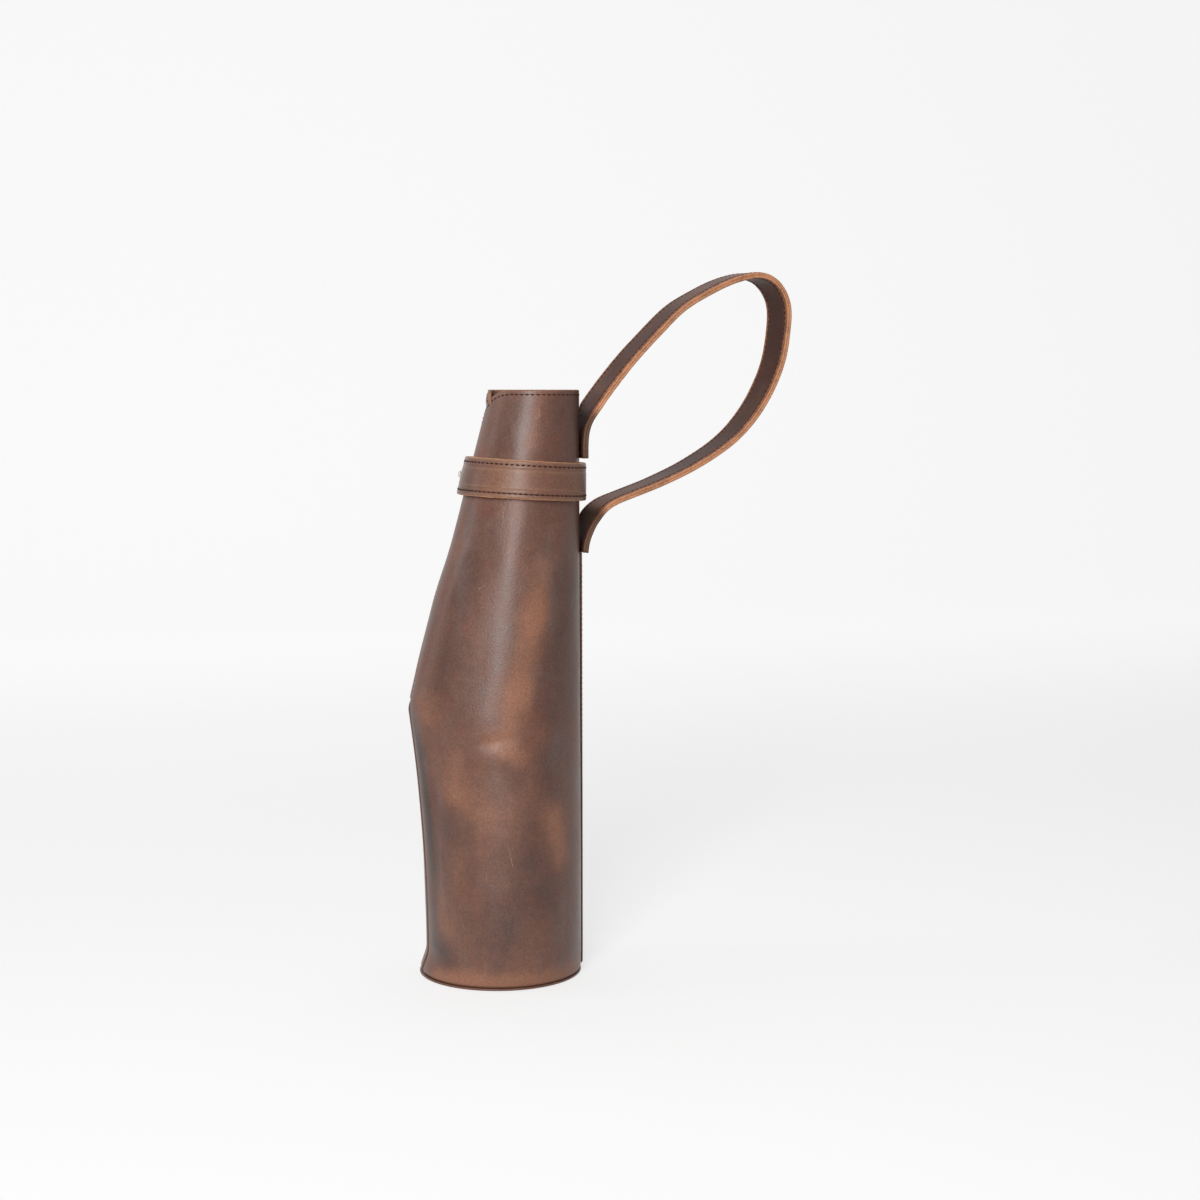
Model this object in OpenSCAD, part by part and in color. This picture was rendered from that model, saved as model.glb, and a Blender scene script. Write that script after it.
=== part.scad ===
// Leather carrier for one wine bottle. A panel is sewn into a sleeve that is closed below and open
// down the front above, with a strap round its neck on a ball stud and a strap handle on its spine.
// The floor is z = 0 under the middle of the base, the spine is at +X and the open front at -X.

/* [Body] */
// Outside diameter of the base
base_d = 85; // [80:1:100]
// Height of the rim above the floor
body_h = 305; // [290:1:340]
// Width across the rim, outside
rim_w = 46; // [42:1:54]
// Height of the upper end of the front seam, where the open front begins
seam_h = 140; // [120:1:160]
// Reach of the upper end of the front seam ahead of the middle of the base
seam_reach = 47.7; // [44:0.1:52]
// Height of the waist, where the front seam draws in most
waist_h = 14; // [10:1:24]
// Reach of the front seam at the waist
waist_reach = 38.8; // [36:0.1:42]
// How far each side is drawn in beside the upper end of the front seam
seam_draw = 10; // [4:0.5:14]
// Thickness of the body leather
leather_t = 1.75; // [1.2:0.05:2.2]
// Height of the turned-up edge of the base disc
base_lip_h = 6; // [4:0.5:10]
// Height of the rounded upper corner of each flap
corner_h = 35; // [20:1:45]

/* [Straps] */
// Width of the neck strap and of the handle
strap_w = 19; // [15:0.5:22]
// Thickness of one strap layer
strap_layer_t = 1.7; // [1.2:0.05:2]
// Distance of the middle of the neck strap below the rim
neck_strap_down = 45.5; // [43:0.5:50]
// How much lower the neck strap runs at the spine than at the front
neck_strap_drop = 3.5; // [0:0.5:6]
// Width of the strip sewn over the spine
spine_strip_w = 13; // [9:0.5:17]
// Thickness of the spine strip
spine_strip_t = 1.2; // [0.8:0.1:1.8]

/* [Handle] */
// Reach of the handle loop from the spine, to the middle of the strap
loop_reach = 130; // [110:1:150]
// Height of the top of the handle loop above the rim, to the middle of the strap
loop_h = 62; // [50:1:85]
// Distance of the bottom end of the lower sewn end below the rim
lower_end_down = 84; // [80:1:90]
// Distance of the bottom end of the upper sewn end below the rim
upper_end_down = 35; // [32:0.5:35.5]
// Turn of the loop about the spine away from the middle plane, in degrees
loop_turn = 17; // [0:1:25]

/* [Stud and stitching] */
// Diameter of the ball on the stud
ball_d = 5; // [4.5:0.1:7]
// Distance of the stud below the middle of the neck strap
stud_drop = 2; // [0:0.5:3]
// Diameter of the neck under the ball
stud_neck_d = 3.4; // [2.6:0.1:4]
// Thickness of the collar of the stud
collar_t = 0.5; // [0.4:0.05:1]
// Diameter of the collar and of the screw's head
collar_d = 7.6; // [6.5:0.1:9]
// Distance from a leather edge to its row of stitches
stitch_inset = 2.3; // [1.8:0.1:3]
// Width of a thread
thread_w = 0.7; // [0.5:0.05:0.9]
// Height of a thread above the leather
thread_h = 0.35; // [0.25:0.05:0.4]

/* [Hidden] */

// Clearances between pieces
rest_gap = 0.15;
body_gap = 0.4;
lap_gap = 1.4;
overrun = 1;
base_r = base_d / 2;
neck_strap_z = body_h - neck_strap_down;
loop_top_z = body_h + loop_h;
lower_end_z = body_h - lower_end_down;
upper_end_z = body_h - upper_end_down;
// Angles are measured about the neck from the spine, in degrees
hinge_angle = 90;
hinge_gap_angle = 0.7;
edge_low_angle = 180;
edge_high_angle = 215;
corner_from_angle = 149;
lap_from_angle = 105;
lap_to_angle = 140;
strap_bevel_angle = 3;
stud_angle = 132;
far_strap_end_angle = 142;
tab_hinge_angle = 186;
tab_step_from_angle = 170;
tab_step_to_angle = 163;
tab_lift_from_angle = 158;
tab_lift_to_angle = 138;
tab_end_angle = 112;
// Counts of columns and rows
back_cols = 30;
front_cols = 36;
flap_cols = 18;
flap_rows = 6;
waist_rows = 4;
seam_rows = 8;
upper_rows = 3;
arc_step_angle = 6;
curve_steps = 3;
// Shares of the handle's curve: where the loop leaves its two sewn bends, a step to take its direction
// over, and what is left between the loop and each bend
lower_free_share = 0.145;
upper_free_share = 0.852;
curve_sample_share = 0.0008;
bend_gap_share = 0.0016;
// Width of the stud's screw as a share of its neck
screw_share = 0.6;

function clamp01(t) = min(1, max(0, t));
function mix(a, b, t) = a + (b - a) * t;
function ease(t) = clamp01(t) * clamp01(t) * (3 - 2 * clamp01(t));
function unit(v) = v / norm(v);

// The outside of the body: reach ahead of the axis, half widths, middle and pinch at each height
function rise(z) = clamp01((z - seam_h) / (body_h - seam_h));
function climb(z) = clamp01((z - waist_h) / (seam_h - waist_h));
function reach(z) = z < waist_h ? mix(base_r, waist_reach, ease(z / waist_h))
    : z < seam_h ? mix(waist_reach, seam_reach, climb(z) * climb(z))
    : mix(seam_reach, rim_w - base_r, (z - seam_h) / (body_h - seam_h));
function half_x(z) = (base_r + reach(z)) / 2;
function mid_x(z) = base_r - half_x(z);
function half_y(z) = z < seam_h ? base_d - half_x(z)
    : mix(base_d - half_x(seam_h), rim_w / 2, (z - seam_h) / (body_h - seam_h));
function draw_in(z) = z < seam_h ? seam_draw * ease(z / seam_h) : seam_draw * (1 - rise(z));
function front_share(f) = pow((1 - cos(f)) / 2, 3);
// A point of the body's skin at angle f and height z, a distance off outside it
function skin(f, z, off) = [
    mid_x(z) + (half_x(z) + off) * cos(f),
    (half_y(z) + off - draw_in(z) * front_share(f)) * sin(f),
    z
];
function skin_normal(f, z) = unit(skin(f, z, 1) - skin(f, z, 0));

// A sheet of leather between two grids of points, with only its filled cells
module leather(rows, cols, outer, inner, ring = false, filled = function (i, j) true) {
    n = ring ? cols : cols + 1;
    last = (rows + 1) * n;
    id = function (side, i, j) side * last + i * n + j % n;
    there = function (i, j) i >= 0 && i < rows && (ring || (j >= 0 && j < cols))
        && filled(i, (j + cols) % cols);
    cells = [for (i = [0:rows - 1]) for (j = [0:cols - 1]) if (filled(i, j)) [i, j]];
    corners = function (side, i, j) [
        id(side, i, j), id(side, i, j + 1), id(side, i + 1, j + 1), id(side, i + 1, j)
    ];
    wall = function (p, q, pp, qq) [[p, q, qq], [p, qq, pp]];
    faces = [for (c = cells)
        let (i = c[0], j = c[1], o = corners(0, i, j), p = corners(1, i, j))
        each concat(
            [[o[0], o[3], o[2]], [o[0], o[2], o[1]], [p[0], p[2], p[3]], [p[0], p[1], p[2]]],
            there(i, j - 1) ? [] : wall(o[3], o[0], p[3], p[0]),
            there(i, j + 1) ? [] : wall(o[1], o[2], p[1], p[2]),
            there(i - 1, j) ? [] : wall(o[0], o[1], p[0], p[1]),
            there(i + 1, j) ? [] : wall(o[2], o[3], p[2], p[3])
        )];
    points = concat(
        [for (i = [0:rows]) for (j = [0:n - 1]) outer(i, j)],
        [for (i = [0:rows]) for (j = [0:n - 1]) inner(i, j)]
    );
    polyhedron(points, faces, convexity = 10);
}

// A flat band along a path of places, each [point, direction across, direction out]
module band(places, across_from, across_to, out_from, out_to) {
    leather(
        len(places) - 1, 1,
        function (i, j) places[i][0] + places[i][1] * (j == 0 ? across_from : across_to)
            + places[i][2] * out_to,
        function (i, j) places[i][0] + places[i][1] * (j == 0 ? across_from : across_to)
            + places[i][2] * out_from
    );
}

// A thread lies along a path on a surface
module thread(places) {
    band(places, -thread_w / 2, thread_w / 2, rest_gap, rest_gap + thread_h);
}

// Places on the skin for a list of [angle, height], with the direction across the path
function skin_places(path, off = 0) = [for (k = [0:len(path) - 1])
    let (
        a = path[max(0, k - 1)],
        b = path[min(len(path) - 1, k + 1)],
        out = skin_normal(path[k][0], path[k][1]),
        along = unit(skin(b[0], b[1], off) - skin(a[0], a[1], off))
    )
    [skin(path[k][0], path[k][1], off), unit(cross(out, along)), out]];

/* The wrapped panel: a closed sleeve up to the seam's end, and only its back half above */
back_angle = hinge_angle - hinge_gap_angle;
ring_angles = concat(
    [for (j = [0:back_cols]) mix(-back_angle, back_angle, j / back_cols)],
    [for (j = [1:front_cols - 1]) mix(back_angle, 360 - back_angle, j / front_cols)]
);
ring_heights = concat(
    [for (i = [0:waist_rows]) waist_h * i / waist_rows],
    [for (i = [1:seam_rows]) mix(waist_h, seam_h, i / seam_rows)],
    [for (i = [1:upper_rows]) mix(seam_h, body_h, i / upper_rows)]
);

module wrap_panel() {
    color("#5a3a2c")
        leather(
            len(ring_heights) - 1, len(ring_angles),
            function (i, j) skin(ring_angles[j], ring_heights[i], 0),
            function (i, j) skin(ring_angles[j], ring_heights[i], -leather_t),
            ring = true,
            filled = function (i, j) i < waist_rows + seam_rows || j < back_cols
        );
}

/* The base: a disc with its edge turned up inside the sleeve, and the thread through both */
disc_r = half_x(base_lip_h) - leather_t - body_gap;
disc_mid_x = mid_x(base_lip_h);

module base_disc() {
    color("#4a3026")
        translate([disc_mid_x, 0, 0])
            difference() {
                cylinder(r = disc_r, h = base_lip_h, $fn = 96);
                translate([0, 0, leather_t])
                    cylinder(r = disc_r - leather_t, h = base_lip_h, $fn = 96);
            }
}

module base_seam_thread() {
    color("#3a1f18")
        translate([disc_mid_x, 0, base_lip_h - stitch_inset])
            rotate_extrude($fn = 96)
                translate([disc_r - leather_t - thread_h, 0])
                    square([thread_h, thread_w]);
}

front_thread_from_z = base_lip_h + body_gap;

module front_seam_thread() {
    path = concat(
        [[edge_low_angle, front_thread_from_z]],
        [for (z = ring_heights) if (z > front_thread_from_z && z < seam_h) [edge_low_angle, z]],
        [[edge_low_angle, seam_h - stitch_inset]]
    );
    color("#3a1f18")
        band(
            skin_places(path, -leather_t), -thread_w / 2, thread_w / 2,
            -rest_gap - thread_h, -rest_gap
        );
}

/* The strip over the spine, under the handle's lower end */
strip_top_z = lower_end_z - body_gap;
function strip_angle(z, share) = asin(share * spine_strip_w / 2 / half_y(z));

module spine_strip() {
    cols = 4;
    rows = 6;
    at = function (i, j, off)
        let (z = mix(0, strip_top_z, i / rows))
        skin(strip_angle(z, 2 * j / cols - 1), z, off);
    color("#54352a")
        leather(
            rows, cols,
            function (i, j) at(i, j, rest_gap + spine_strip_t),
            function (i, j) at(i, j, rest_gap)
        );
}

module spine_stitching() {
    row_share = 1 - 2 * stitch_inset / spine_strip_w;
    rows = 6;
    for (side = [-1, 1]) {
        path = [for (i = [0:rows])
            let (z = mix(stitch_inset, strip_top_z - stitch_inset, i / rows))
            [strip_angle(z, side * row_share), z]];
        color("#3a1f18")
            thread(skin_places(path, rest_gap + spine_strip_t));
    }
}

module rim_stitching() {
    path = [for (j = [0:back_cols]) [mix(-back_angle, back_angle, j / back_cols),
        body_h - stitch_inset]];
    color("#3a1f18")
        thread(skin_places(path));
}

/* The flaps beside the open front. Each is drawn on the far side; the near one is its mirror. */
function flap_edge_angle(z) = mix(edge_low_angle, edge_high_angle, rise(z));
function corner_share(f) =
    clamp01((f - corner_from_angle) / (edge_high_angle - corner_from_angle));
function flap_top_z(f) = body_h - corner_h * (1 - sqrt(1 - pow(corner_share(f), 2)));
function lap(f, under) = under
    ? (leather_t + lap_gap) * ease((f - lap_from_angle) / (lap_to_angle - lap_from_angle)) : 0;

module flap(under) {
    from_z = seam_h + body_gap;
    at = function (i, j, off)
        let (
            z0 = mix(from_z, body_h, i / flap_rows),
            f = mix(hinge_angle + hinge_gap_angle, flap_edge_angle(z0), j / flap_cols),
            z = mix(from_z, flap_top_z(f), i / flap_rows)
        )
        skin(f, z, off - lap(f, under));
    leather(
        flap_rows, flap_cols,
        function (i, j) at(i, j, 0),
        function (i, j) at(i, j, -leather_t)
    );
}

// The row of stitches runs inside the rim, round the corner and down the free edge
function inset_angle(z) = stitch_inset / half_x(z) * 180 / PI;
module flap_thread(under) {
    top_steps = 14;
    edge_steps = 6;
    end_angle = edge_high_angle - 2 * inset_angle(body_h);
    top_path = [for (j = [0:top_steps])
        let (f = mix(hinge_angle + hinge_gap_angle, end_angle, j / top_steps))
        [f, flap_top_z(f) - stitch_inset]];
    turn_z = flap_top_z(end_angle) - 2 * stitch_inset;
    edge_path = [for (i = [0:edge_steps])
        let (z = mix(turn_z, seam_h + stitch_inset, i / edge_steps))
        [flap_edge_angle(z) - inset_angle(z), z]];
    path = concat(top_path, edge_path);
    on_skin = skin_places(path);
    thread([for (k = [0:len(path) - 1])
        [skin(path[k][0], path[k][1], -lap(path[k][0], under)), on_skin[k][1], on_skin[k][2]]]);
}

module near_flap() {
    color("#5a3a2c")
        mirror([0, 1, 0])
            flap(false);
}

module near_flap_stitching() {
    color("#3a1f18")
        mirror([0, 1, 0])
            flap_thread(false);
}

module far_flap() {
    color("#5a3a2c")
        flap(true);
}

module far_flap_stitching() {
    color("#3a1f18")
        flap_thread(true);
}

/* The neck strap: two sewn layers round the back, and an arm on each flap */
function strap_z(f) = neck_strap_z - neck_strap_drop / 2 * cos(f);
lining_from = rest_gap;
outer_from = rest_gap + strap_layer_t;
strap_out = rest_gap + 2 * strap_layer_t;

// A stretch of strap between two angles, whose ends may be bevelled outwards, lifted by a rule
module strap_arc(from, to, out_from, out_to, bevel_from, bevel_to, lift = function (f) 0) {
    cols = ceil(abs(to - from) / arc_step_angle);
    angle = function (j, out)
        mix(from + bevel_from * out / strap_out, to - bevel_to * out / strap_out, j / cols);
    at = function (i, j, out)
        let (f = angle(j, out))
        skin(f, strap_z(f) + mix(-strap_w, strap_w, i) / 2, 0)
            + skin_normal(f, strap_z(f)) * (out + lift(f));
    leather(
        1, cols,
        function (i, j) at(i, j, out_to),
        function (i, j) at(i, j, out_from)
    );
}

module strap_threads(from, to, lift = function (f) 0) {
    cols = ceil(abs(to - from) / arc_step_angle);
    for (side = [-1, 1]) {
        row_z = side * (strap_w / 2 - stitch_inset);
        places = [for (j = [0:cols])
            let (
                f = mix(from, to, j / cols),
                out = skin_normal(f, strap_z(f)),
                p = skin(f, strap_z(f) + row_z, 0) + out * (strap_out + lift(f)),
                along = unit(skin(f + 1, strap_z(f), 0) - skin(f - 1, strap_z(f), 0))
            )
            [p, unit(cross(out, along)), out]];
        thread(places);
    }
}

strap_end_angle = hinge_angle - hinge_gap_angle;
flap_strap_angle = hinge_angle + hinge_gap_angle;

module back_strap_outer() {
    color("#6e4a37")
        strap_arc(
            -strap_end_angle, strap_end_angle, outer_from, strap_out,
            strap_bevel_angle, strap_bevel_angle
        );
}

module back_strap_lining() {
    color("#7a5238")
        strap_arc(
            -strap_end_angle, strap_end_angle, lining_from, outer_from,
            strap_bevel_angle, strap_bevel_angle
        );
}

module back_strap_stitching() {
    end = strap_end_angle - 2 * strap_bevel_angle;
    color("#3a1f18")
        strap_threads(-end, end);
}

near_from_angle = tab_hinge_angle + (strap_layer_t + body_gap) / half_x(neck_strap_z) * 180 / PI;

module near_strap_outer() {
    color("#6e4a37")
        strap_arc(
            near_from_angle, 360 - flap_strap_angle, outer_from, strap_out,
            0, strap_bevel_angle
        );
}

module near_strap_lining() {
    color("#7a5238")
        strap_arc(
            near_from_angle, 360 - flap_strap_angle, lining_from, outer_from,
            0, strap_bevel_angle
        );
}

module near_strap_stitching() {
    color("#3a1f18")
        strap_threads(near_from_angle, 360 - flap_strap_angle - 2 * strap_bevel_angle);
}

/* The ball stud stands on the far arm, square to the sloping skin there */
stud_z = strap_z(stud_angle) - stud_drop;
stud_foot = skin(stud_angle, stud_z, 0);
stud_out = unit(cross(
    skin(stud_angle + 1, stud_z, 0) - skin(stud_angle - 1, stud_z, 0),
    skin(stud_angle, stud_z + 1, 0) - skin(stud_angle, stud_z - 1, 0)
));
// How much of a distance measured level from the skin counts along the stud
stud_lean_share = stud_out * skin_normal(stud_angle, stud_z);
stud_hole_d = stud_neck_d + 2 * body_gap;
tab_lift = strap_out - rest_gap + collar_t + 2 * body_gap;
neck_top = (strap_out + tab_lift) * stud_lean_share + rest_gap;
stud_base = rest_gap + collar_t;
stud_seat = strap_out * stud_lean_share + rest_gap;

module at_stud() {
    translate(stud_foot)
        rotate([0, acos(stud_out[2]), atan2(stud_out[1], stud_out[0])])
            children();
}

module stud_hole(d) {
    at_stud()
        cylinder(d = d, h = 2 * (strap_out + tab_lift + overrun), center = true, $fn = 32);
}

module screw_pocket() {
    at_stud()
        cylinder(d = collar_d + 2 * rest_gap, h = 2 * (stud_base + rest_gap), center = true, $fn = 32);
}

module far_strap_outer() {
    color("#6e4a37")
        difference() {
            strap_arc(
                flap_strap_angle, far_strap_end_angle, outer_from, strap_out,
                strap_bevel_angle, 0
            );
            stud_hole(stud_hole_d);
        }
}

module far_strap_lining() {
    color("#7a5238")
        difference() {
            strap_arc(
                flap_strap_angle, far_strap_end_angle, lining_from, outer_from,
                strap_bevel_angle, 0
            );
            stud_hole(stud_hole_d);
            screw_pocket();
        }
}

module far_strap_stitching() {
    color("#3a1f18")
        strap_threads(flap_strap_angle + 2 * strap_bevel_angle, far_strap_end_angle);
}

// The screw comes up through the strap, and the stud is screwed down on it
screw_d = stud_neck_d * screw_share;
ball_mid = neck_top + ball_d / 2;

module stud() {
    color("silver")
        at_stud()
            difference() {
                union() {
                    translate([0, 0, stud_base + rest_gap])
                        cylinder(d = stud_neck_d, h = ball_mid - stud_base - rest_gap, $fn = 48);
                    translate([0, 0, stud_seat])
                        cylinder(d = collar_d, h = collar_t, $fn = 48);
                    translate([0, 0, ball_mid])
                        sphere(d = ball_d, $fn = 48);
                }
                cylinder(d = screw_d + 2 * rest_gap, h = neck_top + rest_gap, $fn = 32);
            }
}

module stud_screw() {
    color("silver")
        at_stud() {
            translate([0, 0, rest_gap])
                cylinder(d = collar_d, h = collar_t, $fn = 48);
            translate([0, 0, rest_gap])
                cylinder(d = screw_d, h = neck_top - rest_gap, $fn = 32);
        }
}

/* The tab: the strap's free end. It rises over the near flap's stitches, then over the far arm, and
   buttons on the stud. */
tab_step = thread_h + rest_gap;
function lifted(f, from, to) = 1 - ease((f - to) / (from - to));
function tab_rise(f) = tab_step * lifted(f, tab_step_from_angle, tab_step_to_angle)
    + (tab_lift - tab_step) * lifted(f, tab_lift_from_angle, tab_lift_to_angle);
slit_l = strap_w / 3;
slit_w = thread_w;

module tab_cuts() {
    stud_hole(stud_hole_d);
    at_stud()
        translate([-slit_w / 2, 0, 0])
            cube([slit_w, slit_l, tab_lift + 2 * strap_out]);
}

module tab_outer() {
    color("#6e4a37")
        difference() {
            strap_arc(
                tab_end_angle, tab_hinge_angle, outer_from, strap_out, 0, 0,
                function (f) tab_rise(f)
            );
            tab_cuts();
        }
}

module tab_lining() {
    color("#7a5238")
        difference() {
            strap_arc(
                tab_end_angle, tab_hinge_angle, lining_from, outer_from, 0, 0,
                function (f) tab_rise(f)
            );
            tab_cuts();
        }
}

module tab_stitching() {
    color("#3a1f18")
        strap_threads(tab_end_angle, tab_hinge_angle, function (f) tab_rise(f));
}

/* The handle: its path in the plane through the spine, as shares of its reach and its height */
loop_path_shares = [
    [0, 0], [0.002, 0.027], [0.012, 0.058], [0.038, 0.118], [0.103, 0.168], [0.207, 0.199],
    [0.366, 0.243], [0.553, 0.309], [0.735, 0.401], [0.87, 0.521], [0.963, 0.667], [0.996, 0.8],
    [0.998, 0.894], [0.958, 0.958], [0.902, 0.992], [0.83, 1], [0.717, 0.978], [0.599, 0.936],
    [0.46, 0.872], [0.333, 0.778], [0.217, 0.684], [0.105, 0.578], [0.03, 0.495], [0.004, 0.429],
    [0, 0.379], [0, 0.336]
];
path_steps = len(loop_path_shares) - 1;
strap_mid_x = rest_gap + strap_layer_t;
loop_scale = [loop_reach - strap_mid_x, loop_top_z - lower_end_z];
loop_points = [for (k = [0:len(loop_path_shares) - 1])
    let (s = loop_path_shares[k], z = lower_end_z + s[1] * loop_scale[1])
    [strap_mid_x + s[0] * loop_scale[0], k < path_steps ? z : upper_end_z]];
// A point of the curve at a share of its path
function curve_at(share) =
    let (
        t = clamp01(share) * path_steps,
        k = min(path_steps - 1, floor(t)),
        s = t - k,
        p0 = loop_points[max(0, k - 1)],
        p1 = loop_points[k],
        p2 = loop_points[k + 1],
        p3 = loop_points[min(path_steps, k + 2)]
    )
    (2 * p1 + (p2 - p0) * s + (2 * p0 - 5 * p1 + 4 * p2 - p3) * s * s
        + (3 * p1 - p0 - 3 * p2 + p3) * s * s * s) / 2;

// The strap lies square on the spine at its ends and turns with the loop further out
turn_reach = 9;
function turn_at(reach) = loop_turn * ease((reach - strap_mid_x) / (turn_reach - strap_mid_x));
function handle_place(share) =
    let (
        p = curve_at(share),
        d = unit(curve_at(share + curve_sample_share) - curve_at(share - curve_sample_share)),
        a = turn_at(p[0]),
        flat = [cos(a), sin(a), 0]
    )
    [
        [base_r, 0, 0] + flat * p[0] + [0, 0, p[1]],
        [-sin(a), cos(a), 0],
        flat * d[1] - [0, 0, d[0]]
    ];
function handle_places(from, to) =
    let (n = ceil((to - from) * path_steps * curve_steps))
    [for (k = [0:n]) handle_place(mix(from, to, k / n))];

loop_places = handle_places(lower_free_share, upper_free_share);

module handle_layer(places, out_from, out_to) {
    band(places, -strap_w / 2, strap_w / 2, out_from, out_to);
}

module handle_ends() {
    color("#6e4a37")
        for (range = [
            [0, lower_free_share - bend_gap_share], [upper_free_share + bend_gap_share, 1]
        ]) {
            places = handle_places(range[0], range[1]);
            handle_layer(places, -strap_layer_t, 0);
            handle_layer(places, 0, strap_layer_t);
        }
}

module handle_outer() {
    color("#6e4a37")
        handle_layer(loop_places, 0, strap_layer_t);
}

module handle_lining() {
    color("#7a5238")
        handle_layer(loop_places, -strap_layer_t, 0);
}

module handle_stitching() {
    row = strap_w / 2 - stitch_inset;
    face = strap_layer_t + rest_gap;
    color("#3a1f18")
        for (side = [-1, 1]) {
            band(loop_places, side * row - thread_w / 2, side * row + thread_w / 2,
                face, face + thread_h);
            band(loop_places, side * row - thread_w / 2, side * row + thread_w / 2,
                -face - thread_h, -face);
        }
}

wrap_panel();
base_disc();
base_seam_thread();
front_seam_thread();
spine_strip();
spine_stitching();
rim_stitching();
back_strap_outer();
back_strap_lining();
back_strap_stitching();
handle_ends();
near_flap();
near_flap_stitching();
near_strap_outer();
near_strap_lining();
near_strap_stitching();
far_flap();
far_flap_stitching();
far_strap_outer();
far_strap_lining();
far_strap_stitching();
stud();
stud_screw();
tab_outer();
tab_lining();
tab_stitching();
handle_outer();
handle_lining();
handle_stitching();
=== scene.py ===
"""A leather bottle carrier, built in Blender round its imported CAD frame, in metres."""

import math

import bpy
import numpy as np
from bpy.props import FloatProperty, FloatVectorProperty, PointerProperty
from mathutils import Matrix, Vector
from mathutils.bvhtree import BVHTree


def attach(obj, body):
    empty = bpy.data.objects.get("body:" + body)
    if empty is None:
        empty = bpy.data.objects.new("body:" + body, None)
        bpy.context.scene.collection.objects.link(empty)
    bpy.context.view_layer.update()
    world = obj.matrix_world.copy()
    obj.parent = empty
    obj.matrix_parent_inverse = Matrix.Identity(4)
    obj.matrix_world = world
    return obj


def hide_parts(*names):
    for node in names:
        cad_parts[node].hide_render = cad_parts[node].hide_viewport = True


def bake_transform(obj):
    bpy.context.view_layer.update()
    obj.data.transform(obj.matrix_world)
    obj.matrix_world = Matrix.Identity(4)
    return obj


bl_info = {
    "name": "Leather Bottle Carrier",
    "version": (1, 0, 0),
    "blender": (4, 5, 0),
    "location": "3D View > Sidebar > Carrier",
    "description": "Builds a leather bottle carrier round its packed CAD frame",
    "category": "Add Mesh",
}

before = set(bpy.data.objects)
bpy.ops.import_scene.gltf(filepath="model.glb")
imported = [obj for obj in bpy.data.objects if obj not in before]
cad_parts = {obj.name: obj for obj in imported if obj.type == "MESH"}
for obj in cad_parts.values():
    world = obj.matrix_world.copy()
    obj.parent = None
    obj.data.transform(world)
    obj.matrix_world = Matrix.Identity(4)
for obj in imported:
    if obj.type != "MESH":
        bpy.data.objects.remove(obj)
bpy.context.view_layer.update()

MM = 0.001
NEAR, FAR = -1, 1
# The middle of the neck strap below the rim
NECK_DOWN = 45.5 * MM


# --- Sizes and colours -------------------------------------------------------------------------


def length(name, description, default):
    """A size in metres."""
    return FloatProperty(
        name=name, description=description, default=default, min=0, unit="LENGTH", precision=5
    )


def colour(name, description, default):
    """A linear colour."""
    return FloatVectorProperty(
        name=name, description=description, default=default, size=3, min=0, max=1, subtype="COLOR"
    )


class CarrierBody(bpy.types.PropertyGroup):
    """Sizes of the sewn sleeve."""

    base_diameter: length("Base diameter", "Outside diameter of the base", 0.085)
    height: length("Height", "Height of the rim above the floor", 0.305)
    rim_width: length("Rim width", "Width across the rim", 0.046)
    seam_height: length("Seam height", "Height where the front seam ends", 0.140)
    seam_reach: length("Seam reach", "Reach of the seam's upper end", 0.0477)
    waist_height: length("Waist height", "Height where the seam draws in most", 0.014)
    waist_reach: length("Waist reach", "Reach of the front seam at the waist", 0.0388)
    seam_draw: length("Seam draw", "How far each side is drawn in beside the seam", 0.010)
    thickness: length("Leather thickness", "Thickness of the body leather", 0.00175)
    corner_height: length("Corner height", "Height of the near flap's round corner", 0.040)
    far_corner_height: length("Far corner height", "The same on the far flap", 0.048)
    lip_height: length("Lip height", "Height of the base's turned-up edge", 0.006)
    lap_gap: length("Lap gap", "Room between the two flaps where they lap", 0.0014)


class CarrierStraps(bpy.types.PropertyGroup):
    """Sizes of the straps."""

    width: length("Strap width", "Width of the neck strap and handle", 0.019)
    layer: length("Layer thickness", "Thickness of one strap layer", 0.0017)
    neck_down: length("Neck strap down", "Middle of the neck strap below the rim", NECK_DOWN)
    neck_drop: length("Neck strap drop", "How much lower it runs at the spine", 0.0035)
    spine_width: length("Spine strip width", "Width of the strip over the spine", 0.013)
    spine_thickness: length("Spine strip thickness", "Thickness of that strip", 0.0012)
    gap: length("Rest gap", "Gap between pieces that lie on each other", 0.00015)


class CarrierHandle(bpy.types.PropertyGroup):
    """Sizes of the handle."""

    reach: length("Loop reach", "Reach of the loop from the spine", 0.130)
    height: length("Loop height", "Height of the loop's top above the rim", 0.062)
    lower_down: length("Lower end down", "Lower sewn end below the rim", 0.084)
    upper_down: length("Upper end down", "Upper sewn end below the rim", 0.035)
    turn_reach: length("Turn reach", "Where the loop has its whole turn", 0.009)
    turn: FloatProperty(
        name="Loop turn",
        description="Turn of the loop about the spine",
        default=math.radians(17),
        subtype="ANGLE",
    )


class CarrierStitching(bpy.types.PropertyGroup):
    """Sizes of the stitches."""

    pitch: length("Pitch", "Distance from stitch to stitch", 0.0028)
    stitch: length("Stitch length", "Length of one stitch", 0.0022)
    thread: length("Thread", "Width of the thread", 0.00085)
    inset: length("Inset", "Distance of a row from the leather's edge", 0.0023)


class CarrierStud(bpy.types.PropertyGroup):
    """Sizes of the ball stud."""

    ball: length("Ball diameter", "Diameter of the ball", 0.005)
    neck: length("Neck diameter", "Diameter of the neck under the ball", 0.0034)
    collar: length("Collar diameter", "Diameter of the collar", 0.0076)
    collar_thickness: length("Collar thickness", "Thickness of the collar", 0.0005)
    drop: length("Stud drop", "Distance of the stud below the strap's middle", 0.002)


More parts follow.
